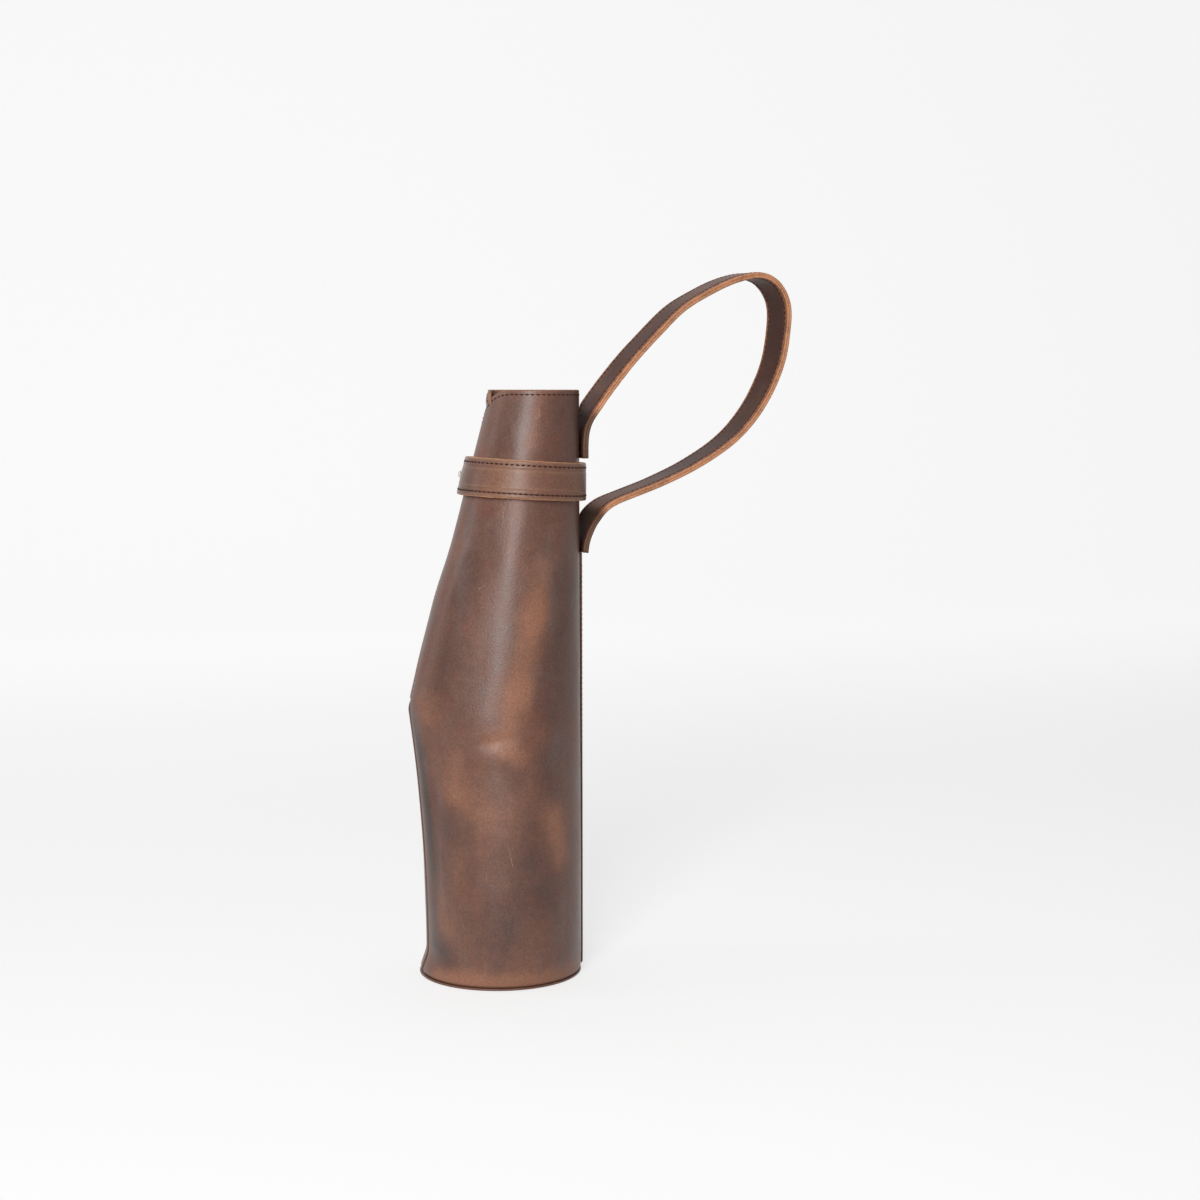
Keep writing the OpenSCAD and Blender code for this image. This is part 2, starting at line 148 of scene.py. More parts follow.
class CarrierFinish(bpy.types.PropertyGroup):
    """Colours of the materials."""

    hide: colour("Body leather", "Waxed leather of the body", (0.168, 0.080, 0.057))
    # The dark wax and pull-up colours also give the painted shade and painted highlights of the
    # tone strokes
    hide_dark: colour("Dark wax", "Where the wax lies thick", (0.068, 0.040, 0.034))
    hide_bright: colour("Pull-up", "Where the leather was bent", (0.335, 0.154, 0.095))
    strap: colour("Strap leather", "Leather of the straps", (0.204, 0.093, 0.063))
    handle: colour("Handle leather", "Leather of the handle's faces", (0.078, 0.036, 0.027))
    edge: colour("Cut edge", "Raw cut edges", (0.600, 0.275, 0.140))
    flesh: colour("Flesh side", "Inside of the leather", (0.480, 0.240, 0.120))
    thread: colour("Thread", "Waxed thread", (0.045, 0.016, 0.011))
    metal: colour("Nickel", "Plated stud", (0.720, 0.700, 0.660))
    ground: colour("Floor", "Floor and backdrop", (0.380, 0.380, 0.380))


class CarrierSettings(bpy.types.PropertyGroup):
    """Everything a user may change."""

    body: PointerProperty(type=CarrierBody)
    straps: PointerProperty(type=CarrierStraps)
    handle: PointerProperty(type=CarrierHandle)
    stitching: PointerProperty(type=CarrierStitching)
    stud: PointerProperty(type=CarrierStud)
    finish: PointerProperty(type=CarrierFinish)


# --- The shape of the sleeve -------------------------------------------------------------------


def mix(a, b, t):
    """From a to b by the share t."""
    return a + (b - a) * t


def ease(t):
    """From 0 to 1 with a smooth start and end."""
    t = np.clip(t, 0, 1)
    return t * t * (3 - 2 * t)


def ramp(value, start, run):
    """Rises smoothly from 0 at start to 1 a run further on."""
    return ease((value - start) / run)


def fall(value, start, run):
    """Falls smoothly from 1 at start to 0 a run further on."""
    return 1 - ramp(value, start, run)


def bell(distance, width):
    """A soft hump, 1 in its middle."""
    return np.exp(-((distance / width) ** 2))


def unit(v):
    """Vectors of length 1."""
    v = np.asarray(v, float)
    return v / np.maximum(np.linalg.norm(v, axis=-1, keepdims=True), 1e-12)


def spaced(start, stop, step):
    """Evenly spaced values from start to stop, about a step apart."""
    return np.linspace(start, stop, max(2, int(round(abs(stop - start) / step)) + 1))


def along_line(points):
    """Length along a line of points, up to each of them."""
    return np.concatenate([[0], np.cumsum(np.linalg.norm(np.diff(points, axis=0), axis=1))])


def resampled(values, run, places):
    """A line's values at other lengths along it."""
    return np.stack([np.interp(places, run, column) for column in values.T], -1)


class Skin:
    """The outside of the sleeve, by angle about the neck from the spine (radians) and height."""

    kink_blur = 2.6 * MM
    table_step = 0.25 * MM

    def __init__(self, body):
        self.body = body
        self.radius = body.base_diameter / 2
        z = np.arange(0, body.height + self.table_step, self.table_step)
        self.heights = z
        self.reaches = self.softened(self.raw_reach(z), self.kink_blur)
        self.half_widths = self.softened(self.raw_half_y(z), 4 * self.kink_blur)
        self.draws = self.softened(self.raw_draw(z), self.kink_blur)

    def softened(self, raw, blur):
        """A table of values whose sharp turn at the seam's end is rounded off."""
        reach = int(4 * blur / self.table_step)
        window = np.exp(-0.5 * (np.arange(-reach, reach + 1) * self.table_step / blur) ** 2)
        soft = np.convolve(np.pad(raw, reach, mode="edge"), window / window.sum(), mode="valid")
        return mix(raw, soft, bell(self.heights - self.body.seam_height, 5 * blur))

    def rise(self, z):
        """The share of the way up from the seam's end to the rim."""
        b = self.body
        return np.clip((z - b.seam_height) / (b.height - b.seam_height), 0, 1)

    def raw_reach(self, z):
        """How far the front reaches from the middle of the base."""
        b = self.body
        climb = np.clip((z - b.waist_height) / (b.seam_height - b.waist_height), 0, 1)
        low = mix(self.radius, b.waist_reach, ease(z / b.waist_height))
        middle = mix(b.waist_reach, b.seam_reach, climb**2)
        high = mix(b.seam_reach, b.rim_width - self.radius, self.rise(z))
        return np.where(z < b.waist_height, low, np.where(z < b.seam_height, middle, high))

    def half_x(self, z):
        """Half of the section's depth, from front to spine."""
        return (self.radius + np.interp(z, self.heights, self.reaches)) / 2

    def mid_x(self, z):
        """The middle of the section, so that the spine stays upright."""
        return self.radius - self.half_x(z)

    def half_y(self, z):
        """Half of the section's width."""
        return np.interp(z, self.heights, self.half_widths)

    def draw(self, z):
        """How far each side is drawn in beside the front."""
        return np.interp(z, self.heights, self.draws)

    def raw_half_y(self, z):
        """Below, the way round keeps its length; above, it closes in to the rim."""
        b = self.body
        at_seam = b.base_diameter - (self.radius + b.seam_reach) / 2
        high = mix(at_seam, b.rim_width / 2, self.rise(z))
        return np.where(z < b.seam_height, b.base_diameter - self.half_x(z), high)

    def raw_draw(self, z):
        """Most at the seam's end, and none at the base and the rim."""
        b = self.body
        share = np.where(z < b.seam_height, ease(z / b.seam_height), 1 - self.rise(z))
        return b.seam_draw * share

    def at(self, f, z, off=0.0):
        """The point at angle f and height z, off outside the skin."""
        f, z, off = np.broadcast_arrays(
            np.asarray(f, float), np.asarray(z, float), np.asarray(off, float)
        )
        pinch = self.draw(z) * ((1 - np.cos(f)) / 2) ** 3
        x = self.mid_x(z) + (self.half_x(z) + off) * np.cos(f)
        y = (self.half_y(z) + off - pinch) * np.sin(f)
        return np.stack([x, y, z], -1)

    def level(self, f, z):
        """The level direction out of the skin."""
        return unit(self.at(f, z, MM) - self.at(f, z))

    def size(self, z):
        """Mean radius at a height, to unroll the side with."""
        return (self.half_x(z) + self.half_y(z)) / 2


# Each stroke runs from one angle and height to another (degrees, mm), with its width (mm) and its
# strength. Angles above 180 are on the near side.
RELIEF = [
    (212, 126, 207, 95, 7, -0.9),
    (207, 95, 204, 45, 7, -0.8),
    (211, 76, 207, 42, 1.3, 0.32),
    (203, 148, 207, 138, 9, 0.8),
    (224, 216, 214, 153, 8, -0.7),
    (273, 130, 252, 127, 2.6, -0.5),
    (252, 127, 235, 122, 3.0, -0.45),
    (300, 236, 303, 150, 11, -0.35),
    (264, 121, 244, 118, 5.5, 0.35),
    (262, 100, 286, 84, 12, 0.4),
    (150, 128, 153, 60, 7, -0.9),
    (147, 80, 150, 44, 1.4, 0.3),
    (156, 150, 152, 138, 9, 0.6),
    (138, 214, 146, 155, 8, -0.6),
    (100, 118, 84, 112, 3.0, -0.4),
    (70, 180, 84, 120, 10, 0.45),
]
# The leather's own lighter and darker places, with a few strokes of painted highlight and painted
# shade, marked below
TONES_AND_PAINTED_LIGHT = [
    (287, 216, 281, 190, 6.5, 0.75),
    (281, 190, 273, 152, 8, 0.85),
    (273, 152, 266, 127, 6.5, 0.8),
    (257, 127, 273, 120, 5.5, 0.75),
    (232, 98, 262, 91, 13, 0.5),
    (258, 88, 266, 80, 10, 0.25),
    (226, 60, 232, 48, 9, 0.2),
    (297, 88, 303, 68, 8, 1.15),
    (208, 42, 209, 30, 7, 0.5),
    (204, 147, 208, 139, 6, 0.45),
    (232, 118, 226, 98, 6, 0.35),
    # A lighter band round the foot: a rubbed edge, and painted light bounced up from the floor
    (208, 3, 330, 3, 6.5, 1.35),
    # Painted shade in the hollow beside the front seam, below the seam's end
    (192, 136, 194, 20, 4, -0.7),
    # Painted highlight down the front of the neck
    (266, 302, 262, 278, 4, 0.55),
    (214, 30, 222, 18, 7, 0.3),
    (274, 82, 281, 46, 13, -0.6),
    (300, 215, 305, 128, 12, -0.35),
    (318, 210, 320, 150, 14, -0.2),
    (222, 88, 219, 78, 8, -0.4),
    (258, 34, 262, 26, 9, -0.45),
    (205, 17, 214, 13, 7, -0.5),
    # Painted shade in the hollow beside the front seam, above the seam's end
    (222, 214, 212, 156, 9, -0.45),
    (222, 240, 222, 226, 9, -0.25),
    (240, 166, 234, 150, 12, -0.2),
    (292, 112, 300, 100, 9, -0.35),
    (300, 296, 304, 262, 12, -0.35),
    (236, 292, 236, 262, 9, -0.2),
    # Painted shade in the hollow beside the front seam
    (196, 120, 197, 60, 5, -0.5),
    (84, 205, 96, 160, 8, 0.8),
    (60, 150, 72, 120, 10, 0.55),
    (110, 100, 118, 74, 9, 0.75),
    (90, 60, 70, 44, 9, 0.5),
    (140, 60, 136, 30, 9, -0.55),
    (60, 90, 52, 60, 12, -0.6),
    (100, 30, 120, 20, 10, -0.35),
    (128, 200, 140, 160, 8, -0.5),
    (40, 210, 34, 120, 11, -0.4),
    (30, 60, 26, 30, 10, 0.4),
    (75, 7, 140, 7, 4, 0.4),
    (100, 285, 108, 265, 9, 0.35),
    (330, 190, 334, 120, 10, 0.3),
    (338, 90, 330, 50, 10, 0.35),
]
# Fine scratches on the near side: start and end, as angle and height, and half width in mm
SCRATCHES = [
    (303.5, 199.6, 308, 197.8, 0.20),
    (308, 197.8, 314, 198.6, 0.18),
    (265.4, 296, 266.6, 291.5, 0.25),
    (262.0, 290.6, 264.4, 291.2, 0.20),
    (243, 246, 244, 236, 0.20),
    (252, 241, 252.6, 236, 0.18),
    (262.2, 75.6, 264.6, 65.0, 0.25),
    (250, 221.5, 254, 223.5, 0.20),
    (233, 204.5, 238, 206.5, 0.18),
    (225, 36, 228, 31, 0.2),
]


def strokes(table, skin, f, z):
    """The sum of a table's soft strokes at each angle and height."""
    degrees = np.degrees(f)
    across_mm = skin.size(z) / MM * math.pi / 180
    total = np.zeros(np.broadcast(f, z).shape)
    for f0, z0, f1, z1, width, strength in table:
        run_x, run_z = (f1 - f0) * across_mm, z1 - z0
        x, y = (degrees - f0) * across_mm, z / MM - z0
        share = np.clip((x * run_x + y * run_z) / (run_x**2 + run_z**2 + 1e-9), 0, 1)
        distance = np.hypot(x - share * run_x, y - share * run_z)
        total += strength * bell(distance, width)
    return total


# The height of the slow waves all over the leather (mm), and of the swell above the seam's end
WAVE_MM = 0.12
SWELL = 1.7 * MM


def relief(skin, f, z):
    """How far the leather stands out or in of its plain skin, in metres."""
    z_mm = z / MM
    waves = np.sin(5 * f + z_mm / 17) * np.sin(z_mm / 13 + 1.3)
    waves = waves + np.sin(9 * f - z_mm / 23 + 2) * np.sin(z_mm / 31)
    # It lies plain at the base, the rim, the neck strap, the spine and the middle of the front
    height = skin.body.height
    clear = (
        ramp(z, 5 * MM, 12 * MM)
        * ramp(height - z, 3 * MM, 12 * MM)
        * ramp(abs(z - height + NECK_DOWN), 12 * MM, 10 * MM)
        * ramp(np.minimum(f, 2 * math.pi - f), 0.22, 0.25)
        * ramp(abs(f - math.pi), 0.05, 0.15)
    )
    return (strokes(RELIEF, skin, f, z) + waves * WAVE_MM) * clear * MM


def swell(skin, f, z):
    """How far the lower part of the open front stands out, in metres."""
    above_seam = z - skin.body.seam_height
    up = ramp(above_seam, -4 * MM, 14 * MM) * fall(above_seam, 55 * MM, 34 * MM)
    return SWELL * up * fall(abs(f - math.pi), 0.5, 0.7)


# --- Mesh building -----------------------------------------------------------------------------


def grid_quads(rows, cols):
    """The quads between the points of a grid, numbered row by row."""
    grid = np.arange(rows * cols).reshape(rows, cols)
    corners = (grid[:-1, :-1], grid[:-1, 1:], grid[1:, 1:], grid[1:, :-1])
    return np.stack(corners, -1).reshape(-1, 4)


def grid_border(rows, cols):
    """The outermost places of a grid, once round, as (row, column)."""
    bottom = [(0, j) for j in range(cols)]
    right = [(i, cols - 1) for i in range(1, rows)]
    top = [(rows - 1, j) for j in range(cols - 2, -1, -1)]
    left = [(i, 0) for i in range(rows - 2, 0, -1)]
    return bottom + right + top + left


class Shell:
    """A sheet of leather round a grid of middle points [rows, columns], with rounded edges.

    bulge is how far its edges are rounded, none in the first column with flat_start. carve is how
    deep its outer face is pressed in. facing is (share, ways): given outward directions, and how
    much they count against the grid's own.
    """

    edge_steps = 4

    def __init__(self, middle, thickness, bulge=0.35, flat_start=False, carve=0.0, facing=None):
        rows, cols = middle.shape[:2]
        self.middle = middle
        along, up = (unit(np.gradient(middle, axis=axis)) for axis in (1, 0))
        self.out = unit(np.cross(along, up))
        if facing is not None:
            share, ways = facing
            self.out = unit(mix(self.out, ways, share[..., None]))
        half = thickness / 2
        rise = np.broadcast_to(half - carve, (rows, cols))
        self.outer = middle + self.out * rise[..., None]
        self.inner = middle - self.out * half
        border = grid_border(rows, cols)
        rings = self.edge_rings(border, half, bulge, flat_start)
        self.points = np.concatenate(
            [self.outer.reshape(-1, 3), self.inner.reshape(-1, 3), *rings]
        )
        n, m = rows * cols, len(border)
        self.border_index = np.array([i * cols + j for i, j in border])
        loops = [self.border_index]
        loops += [2 * n + m * k + np.arange(m) for k in range(self.edge_steps - 1)]
        loops.append(self.border_index + n)
        outer = grid_quads(rows, cols)
        edge = [
            np.stack([p, q, np.roll(q, -1), np.roll(p, -1)], -1)
            for p, q in zip(loops[:-1], loops[1:])
        ]
        self.faces = np.concatenate([outer, outer[:, ::-1] + n, *edge])
        self.kinds = np.repeat([0, 1, 2], [len(outer), len(outer), m * self.edge_steps])

    def edge_rings(self, border, half, bulge, flat_start):
        """Rings of points that round the edge, from the outer face to the inner one."""
        index = tuple(np.array(border).T)
        base, out = self.middle[index], self.out[index]
        steps_on = unit(np.roll(base, -1, 0) - base)
        away = unit(np.cross(steps_on + np.roll(steps_on, 1, 0), out))
        bulges = np.array([0 if flat_start and j == 0 else bulge for _, j in border])[:, None]
        top = np.einsum("ij,ij->i", self.outer[index] - base, out)[:, None]
        rings = []
        for k in range(1, self.edge_steps):
            turn = math.pi * k / self.edge_steps
            height = math.cos(turn) * (top if math.cos(turn) > 0 else half)
            rings.append(base + out * height + away * half * bulges * math.sin(turn))
        return rings

    def spread(self, values):
        """Values on the grid, given to the inner side and the edges too."""
        flat = np.broadcast_to(values, self.middle.shape[:2]).reshape(-1)
        edges = np.tile(flat[self.border_index], self.edge_steps - 1)
        return np.concatenate([flat, flat, edges])

    def distance_to(self, side):
        """Distance of each grid point, along the sheet, to its top or right side."""
        axis = 0 if side == "top" else 1
        step = np.linalg.norm(np.diff(self.middle, axis=axis), axis=-1)
        run = np.cumsum(step, axis=axis)
        run = np.concatenate([0 * run.take([0], axis), run], axis=axis)
        return run.take([-1], axis) - run


def mesh_object(name, points, faces, kinds, materials, attributes=None, mirrored=False):
    """A finished mesh object at the origin, its faces turned outwards."""
    points = np.array(points, float)
    faces = [list(map(int, face)) for face in faces]
    if mirrored:
        points = points * [1, -1, 1]
        faces = [face[::-1] for face in faces]
    mesh = bpy.data.meshes.new(name)
    mesh.from_pydata(points.tolist(), [], faces)
    for material in materials:
        mesh.materials.append(material)
    mesh.polygons.foreach_set("material_index", np.asarray(kinds, np.int32))
    mesh.polygons.foreach_set("use_smooth", np.ones(len(faces), bool))
    for key, values in (attributes or {}).items():
        attribute = mesh.attributes.new(key, "FLOAT", "POINT")
        attribute.data.foreach_set("value", np.asarray(values, np.float32))
    mesh.update()
    obj = bpy.data.objects.new(name, mesh)
    bpy.context.scene.collection.objects.link(obj)
    return obj


def lathe(profile, steps):
    """Points and faces of a solid turned about Z; the profile runs from pole to pole."""
    turns = np.linspace(0, 2 * math.pi, steps, endpoint=False)
    ring = np.stack([np.cos(turns), np.sin(turns)], -1)
    profile = np.asarray(profile, float)
    inner = profile[1:-1]
    points = [[0, 0, profile[0][1]]]
    for r, z in inner:
        points += np.column_stack([ring * r, np.full(steps, z)]).tolist()
    points.append([0, 0, profile[-1][1]])
    faces, last = [], len(points) - 1
    for k in range(steps):
        n = (k + 1) % steps
        faces.append([0, 1 + n, 1 + k])
        for row in range(len(inner) - 1):
            a, b = 1 + row * steps, 1 + (row + 1) * steps
            faces.append([a + k, a + n, b + n, b + k])
        top = 1 + (len(inner) - 1) * steps
        faces.append([top + k, top + n, last])
    return np.array(points), faces


# --- The sleeve --------------------------------------------------------------------------------

# The turn of the panel's lower edge, and the height of the groove that it leaves over the base
BASE_TURN, BASE_GROOVE = 1.4 * MM, 1.3 * MM
# The turn and the turned-in flange beside the front seam, and the columns that make them
SEAM_TURN, SEAM_FLANGE, SEAM_COLS = 1.5 * MM, 5 * MM, 10
# Angles from the spine: each flap's free edge at the rim, and where the round corners start
EDGE_HIGH = math.radians(215)
CORNER_FROM, FAR_CORNER_FROM = math.radians(134), math.radians(168)
# A corner stops just short of upright, so that its rows don't fold onto each other
CORNER_SHARE = 0.985
# How much of its lap the far flap comes out by, above its corner
FREED = 1.35
# How far the wear of a free edge and of the rim reaches in
WORN_IN = 1.2 * MM
# The base's outline: the rolled edge, the turned-up lip and the inside, as mm in from the outside
# and mm up from the floor, or for the lip from its top
BASE_ROLL = [
    (4.0, 0.0), (1.8, 0.0), (1.0, 0.05), (0.4, 0.2), (0.05, 0.46), (-0.05, 0.75), (0.05, 1.04),
    (0.4, 1.3), (1.0, 1.45), (1.8, 1.52), (3.0, 1.56), (3.4, 1.8), (3.6, 2.7),
]  # fmt: skip
BASE_LIP = [(3.65, -0.4), (4.0, 0), (5.0, 0), (5.4, -0.4)]
BASE_INSIDE = [(5.5, 3.2), (6.1, 2.3), (7.2, 2.05)]


def wall_rows(skin):
    """Heights of the sleeve's rows, and how far each row is turned in under the base."""
    body = skin.body
    flange_z = BASE_GROOVE + body.thickness / 2
    turn_z = flange_z + BASE_TURN
    turn = np.radians(np.linspace(0, 90, 7))
    insets = [BASE_TURN + np.array([0.8, 0.4]) * MM, BASE_TURN * (1 - np.sin(turn))]
    heights = [[flange_z, flange_z], turn_z - BASE_TURN * np.cos(turn)]
    # Rows lie closer together round the end of the seam and at the rim
    low = turn_z
    for high, step in (
        (body.seam_height - 10 * MM, 1.5 * MM),
        (body.seam_height + 12 * MM, 0.8 * MM),
        (body.height - 4 * MM, 1.5 * MM),
        (body.height, 0.7 * MM),
    ):
        rows = spaced(low, high, step)[1:]
        heights.append(rows)
        insets.append(0 * rows)
        low = high
    return np.concatenate(heights), np.concatenate(insets)


def flap_height(skin, f, z, under):
    """Heights on a flap, whose rows close up under its round corner. The far one falls more."""
    body = skin.body
    start, drop = CORNER_FROM, body.corner_height
    if under:
        start, drop = FAR_CORNER_FROM, body.far_corner_height
    share = np.clip((f - start) / (EDGE_HIGH - start), 0, 1) * CORNER_SHARE
    top = body.height - drop * (1 - np.sqrt(1 - share**2))
    return np.where(z > body.seam_height, mix(body.seam_height, top, skin.rise(z)), z)


def tuck(body, f, z, under):
    """How far the far flap lies inside the near one, until it comes free above its corner."""
    if not under:
        return 0.0
    held = ramp(f, math.radians(105), math.radians(35)) * ramp(z, body.seam_height, 12 * MM)
    freed = FREED * ramp(z, body.height - 16 * MM, 12 * MM)
    return (body.thickness + body.lap_gap) * held * (1 - freed)


def way_out(skin, f, z, under):
    """Which way the open front faces, without its small dents."""

    def place(f, z):
        return skin.at(f, z, swell(skin, f, z) - tuck(skin.body, f, z, under))

    step = 0.5 * MM
    turn = step / skin.size(z)
    along = place(f + turn, z) - place(f - turn, z)
    return unit(np.cross(along, place(f, z + step) - place(f, z - step)))


def panel_middle(skin, under):
    """The middle of half a panel on the far side, from the spine round to its seam and free edge.

    It gives points, angles, heights and the Shell's facing. The near half is mirrored later.
    """
    body = skin.body
    half = body.thickness / 2
    heights, insets = wall_rows(skin)
    corner = mix(CORNER_FROM, EDGE_HIGH, np.sin(np.radians(np.linspace(0, 90, 27))))
    shares = np.concatenate([np.linspace(0, CORNER_FROM, 76), corner[1:]]) / EDGE_HIGH
    z0, inset = heights[:, None], insets[:, None]
    above_seam = z0 - body.seam_height
    opened = ramp(above_seam, -2 * MM, 10 * MM)
    lapped = ramp(above_seam, 8 * MM, 25 * MM)
    edge = math.pi + (EDGE_HIGH - math.pi) * skin.rise(z0) * lapped
    edge = edge - (1 - lapped) * 0.5 * MM / skin.half_y(z0)
    wide = skin.half_y(z0) - half - skin.draw(z0)
    turn_at = math.pi - np.arcsin(np.clip((half + SEAM_TURN) / wide, 0, 0.9))
    free_at = edge - 4 * MM / skin.size(z0)
    f = shares * mix(turn_at, free_at, opened)
    z = flap_height(skin, f, z0, under)
    around = f if under else 2 * math.pi - f
    bump = relief(skin, around, z) + swell(skin, f, z)
    main = skin.at(f, z, bump - half - inset - tuck(body, f, z, under))
    # Beside the seam the leather turns inwards; above it, it runs on to the free edge
    steps = np.arange(1, SEAM_COLS + 1) / SEAM_COLS
    quarter = np.radians(90) * np.clip(steps * 2, 0, 1)
    flange = SEAM_FLANGE * np.clip(steps * 2 - 1, 0, 1)
    turn_x, turn_y = SEAM_TURN * (1 - np.cos(quarter)), SEAM_TURN * np.sin(quarter)
    turned = main[:, -1:] + np.stack([turn_x + flange, -turn_y, 0 * flange], -1)
    f_more = mix(free_at, edge, steps)
    z_more = flap_height(skin, f_more, z0, under)
    off = swell(skin, f_more, z_more) - half - inset - tuck(body, f_more, z_more, under)
    more = mix(turned, skin.at(f_more, z_more, off), opened[..., None])
    f, z = np.concatenate([f, f_more], 1), np.concatenate([z, z_more], 1)
    free_share = ramp(above_seam, 8 * MM, 10 * MM) + 0 * f
    return np.concatenate([main, more], 1), f, z, (free_share, way_out(skin, f, z, under))


def bend_side(obj):
    """Bake a piece's transform into its mesh, where it stays."""
    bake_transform(obj)


# The shells that carry stitches, by piece; a strap's with the places across it
KEPT_SHELLS = {}


class CARRIER_OT_panel(bpy.types.Operator):
    """Build the wrapped body panel: two halves that meet at the spine and at the front seam"""

    bl_idname = "carrier.panel"
    bl_label = "Body Panel"

    def execute(self, context):
        body = context.scene.bottle_carrier.body
        skin = Skin(body)
        for side, name, nodes in (
            (NEAR, "panel_near", ("wrap_panel", "near_flap")),
            (FAR, "panel_far", ("far_flap",)),
        ):
            middle, f, z, facing = panel_middle(skin, side == FAR)
            shell = Shell(middle, body.thickness, flat_start=True, facing=facing)
            around = f if side == FAR else 2 * math.pi - f
            open_front = ramp(z, body.seam_height, 8 * MM)
            worn = (
                np.exp(-shell.distance_to("right") / WORN_IN) * open_front,
                np.exp(-shell.distance_to("top") / WORN_IN) * 0.75,
                fall(z, 3 * MM, 4 * MM) * 0.5,
            )
            # Painted shade: darker in the seam's fold and in the groove over the base
            cols = z.shape[1]
            fold = np.clip(np.arange(cols) - (cols - SEAM_COLS - 2), 0, 6) / 6
            shade_mask = np.maximum(fold * (1 - open_front), fall(z, 1.7 * MM, 0.6 * MM) * 0.55)
            obj = mesh_object(
                name,
                shell.points,
                shell.faces,
                shell.kinds,
                [MATERIALS["body"], MATERIALS["flesh"], MATERIALS["rim_edge"]],
                {
                    "tone": shell.spread(strokes(TONES_AND_PAINTED_LIGHT, skin, around, z)),
                    "wear_and_highlight": shell.spread(np.maximum.reduce(worn)),
                    "shade_and_grime": shell.spread(shade_mask),
                },
                mirrored=side == NEAR,
            )
            share_normals(obj, shell)
            KEPT_SHELLS["panel", side] = shell
            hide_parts(*nodes)
            bend_side(obj)
        return {"FINISHED"}


def share_normals(obj, shell):
    """Where two halves meet, both take the plain skin's normal, so the joint doesn't show."""
    mesh = obj.data
    normals = np.zeros(len(mesh.vertices) * 3, np.float32)
    mesh.vertex_normals.foreach_get("vector", normals)
    normals = normals.reshape(-1, 3)
    rows, cols = shell.middle.shape[:2]
    start = np.arange(rows) * cols
    out = unit(shell.out[:, 0] * [1, 0, 1])
    normals[start] = out
    normals[start + rows * cols] = -out
    mesh.normals_split_custom_set_from_vertices(normals.tolist())


class CARRIER_OT_base(bpy.types.Operator):
    """Build the base, whose rolled edge shows under the groove of the base seam"""

    bl_idname = "carrier.base"
    bl_label = "Base"

    def execute(self, context):
        body = context.scene.bottle_carrier.body
        radius = body.base_diameter / 2

        def outline(table, foot=0.0):
            return [(radius - inset * MM, foot + up * MM) for inset, up in table]

        below = [(0, 0.35 * MM), (radius * 0.5, 0.28 * MM), (radius * 0.8, 0.1 * MM)]
        edge = outline(BASE_ROLL) + outline(BASE_LIP, body.lip_height) + outline(BASE_INSIDE)
        above = [(radius * 0.5, 2.03 * MM), (0, 2.1 * MM)]
        points, faces = lathe(below + edge + above, 160)
        height = points[:, 2]
        inwards = radius - np.hypot(points[:, 0], points[:, 1])
        # Painted shade on the rolled edge, in the groove under the panel's turned edge
        groove = 0.5 * ramp(height, 1.0 * MM, 0.4 * MM) * fall(inwards, 3 * MM, MM)
        obj = mesh_object(
            "base_panel",
            points,
            faces,
            [0] * len(faces),
            [MATERIALS["base"]],
            {"tone": 0 * height, "wear_and_highlight": 0.5 * fall(inwards, 0, MM), "shade_and_grime": groove},
        )
        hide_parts("base_disc")
        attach(obj, "sleeve")
        return {"FINISHED"}


# --- Straps ------------------------------------------------------------------------------------

# From a strap's row of stitches in to its pressed crease, and to the painted highlight line beside
# that
CREASE_IN, CREASE_HIGHLIGHT_IN = 2.0 * MM, 2.7 * MM
# How deep and how wide a strap's face is pressed in: by its stitches, its creases and its edges
ROW_DENT, CREASE_DENT = (0.13 * MM, 0.6 * MM), (0.20 * MM, 0.26 * MM)
EDGE_DENT = (0.30 * MM, 0.45 * MM)
# How far a cut edge wanders, how far in its wear reaches, how bright and how wide the painted
# highlight beside its crease is, and how much its stitch rows are darkened
RAGGED, EDGE_LIGHT = 0.035 * MM, 0.7 * MM
CREASE_HIGHLIGHT, CREASE_HIGHLIGHT_WIDE, ROW_DARKENING = 0.45, 0.35 * MM, 0.2
# A strap's two layers in the order of making: finish, slot, and where its middle lies, in layers
LAYERS = {"lining": ("lining", "lining_leather", 0.5), "outer": ("strap", "strap_leather", 1.5)}
# Angles about the neck from the spine: the stud, the far arm's end, and the tab's two rises
STUD_AT = math.radians(132)
FAR_END = math.radians(142)
STEP_FROM, STEP_TO = math.radians(170), math.radians(163)
LIFT_FROM, LIFT_TO = math.radians(158), math.radians(138)
TAB_FROM, TAB_TO = math.radians(186), math.radians(112)
# An arm has a column about every this far round
ARM_STEP = math.radians(1.6)
# How far the tab rises over the near flap's stitches, and its room over the stud's collar
STITCH_STEP, COLLAR_ROOM = 0.5 * MM, 0.8 * MM
# The tab's hole stands this far off the stud's neck, and its slit is this wide to each side
HOLE_ROOM, SLIT_HALF = 0.4 * MM, 0.28 * MM


def strap_samples(width, inset):
    """Places across a strap, closer together at its stitch rows, creases and edges."""
    row = width / 2 - inset
    crease = row - CREASE_IN
    picked = [np.linspace(-crease + 0.8 * MM, crease - 0.8 * MM, 9)]
    for side in (-1, 1):
        picked += [
            side * (row + np.arange(-3, 4) * 0.3 * MM),
            side * (crease + np.arange(-2, 3) * 0.25 * MM),
            side * (width / 2 - np.array([0, 0.25, 0.6, 1.0]) * MM),
        ]
    return np.unique(np.round(np.concatenate(picked), 6))


def strap_carve(across, width, inset, creased=True):
    """How deep a strap's face is pressed in: rows of stitches, creases and rounded edges."""
    from_edge = width / 2 - abs(across)
    places = [(from_edge - inset, ROW_DENT), (from_edge, EDGE_DENT)]
    if creased:
        places.insert(1, (from_edge - inset - CREASE_IN, CREASE_DENT))
    return sum(deep * bell(distance, wide) for distance, (deep, wide) in places)


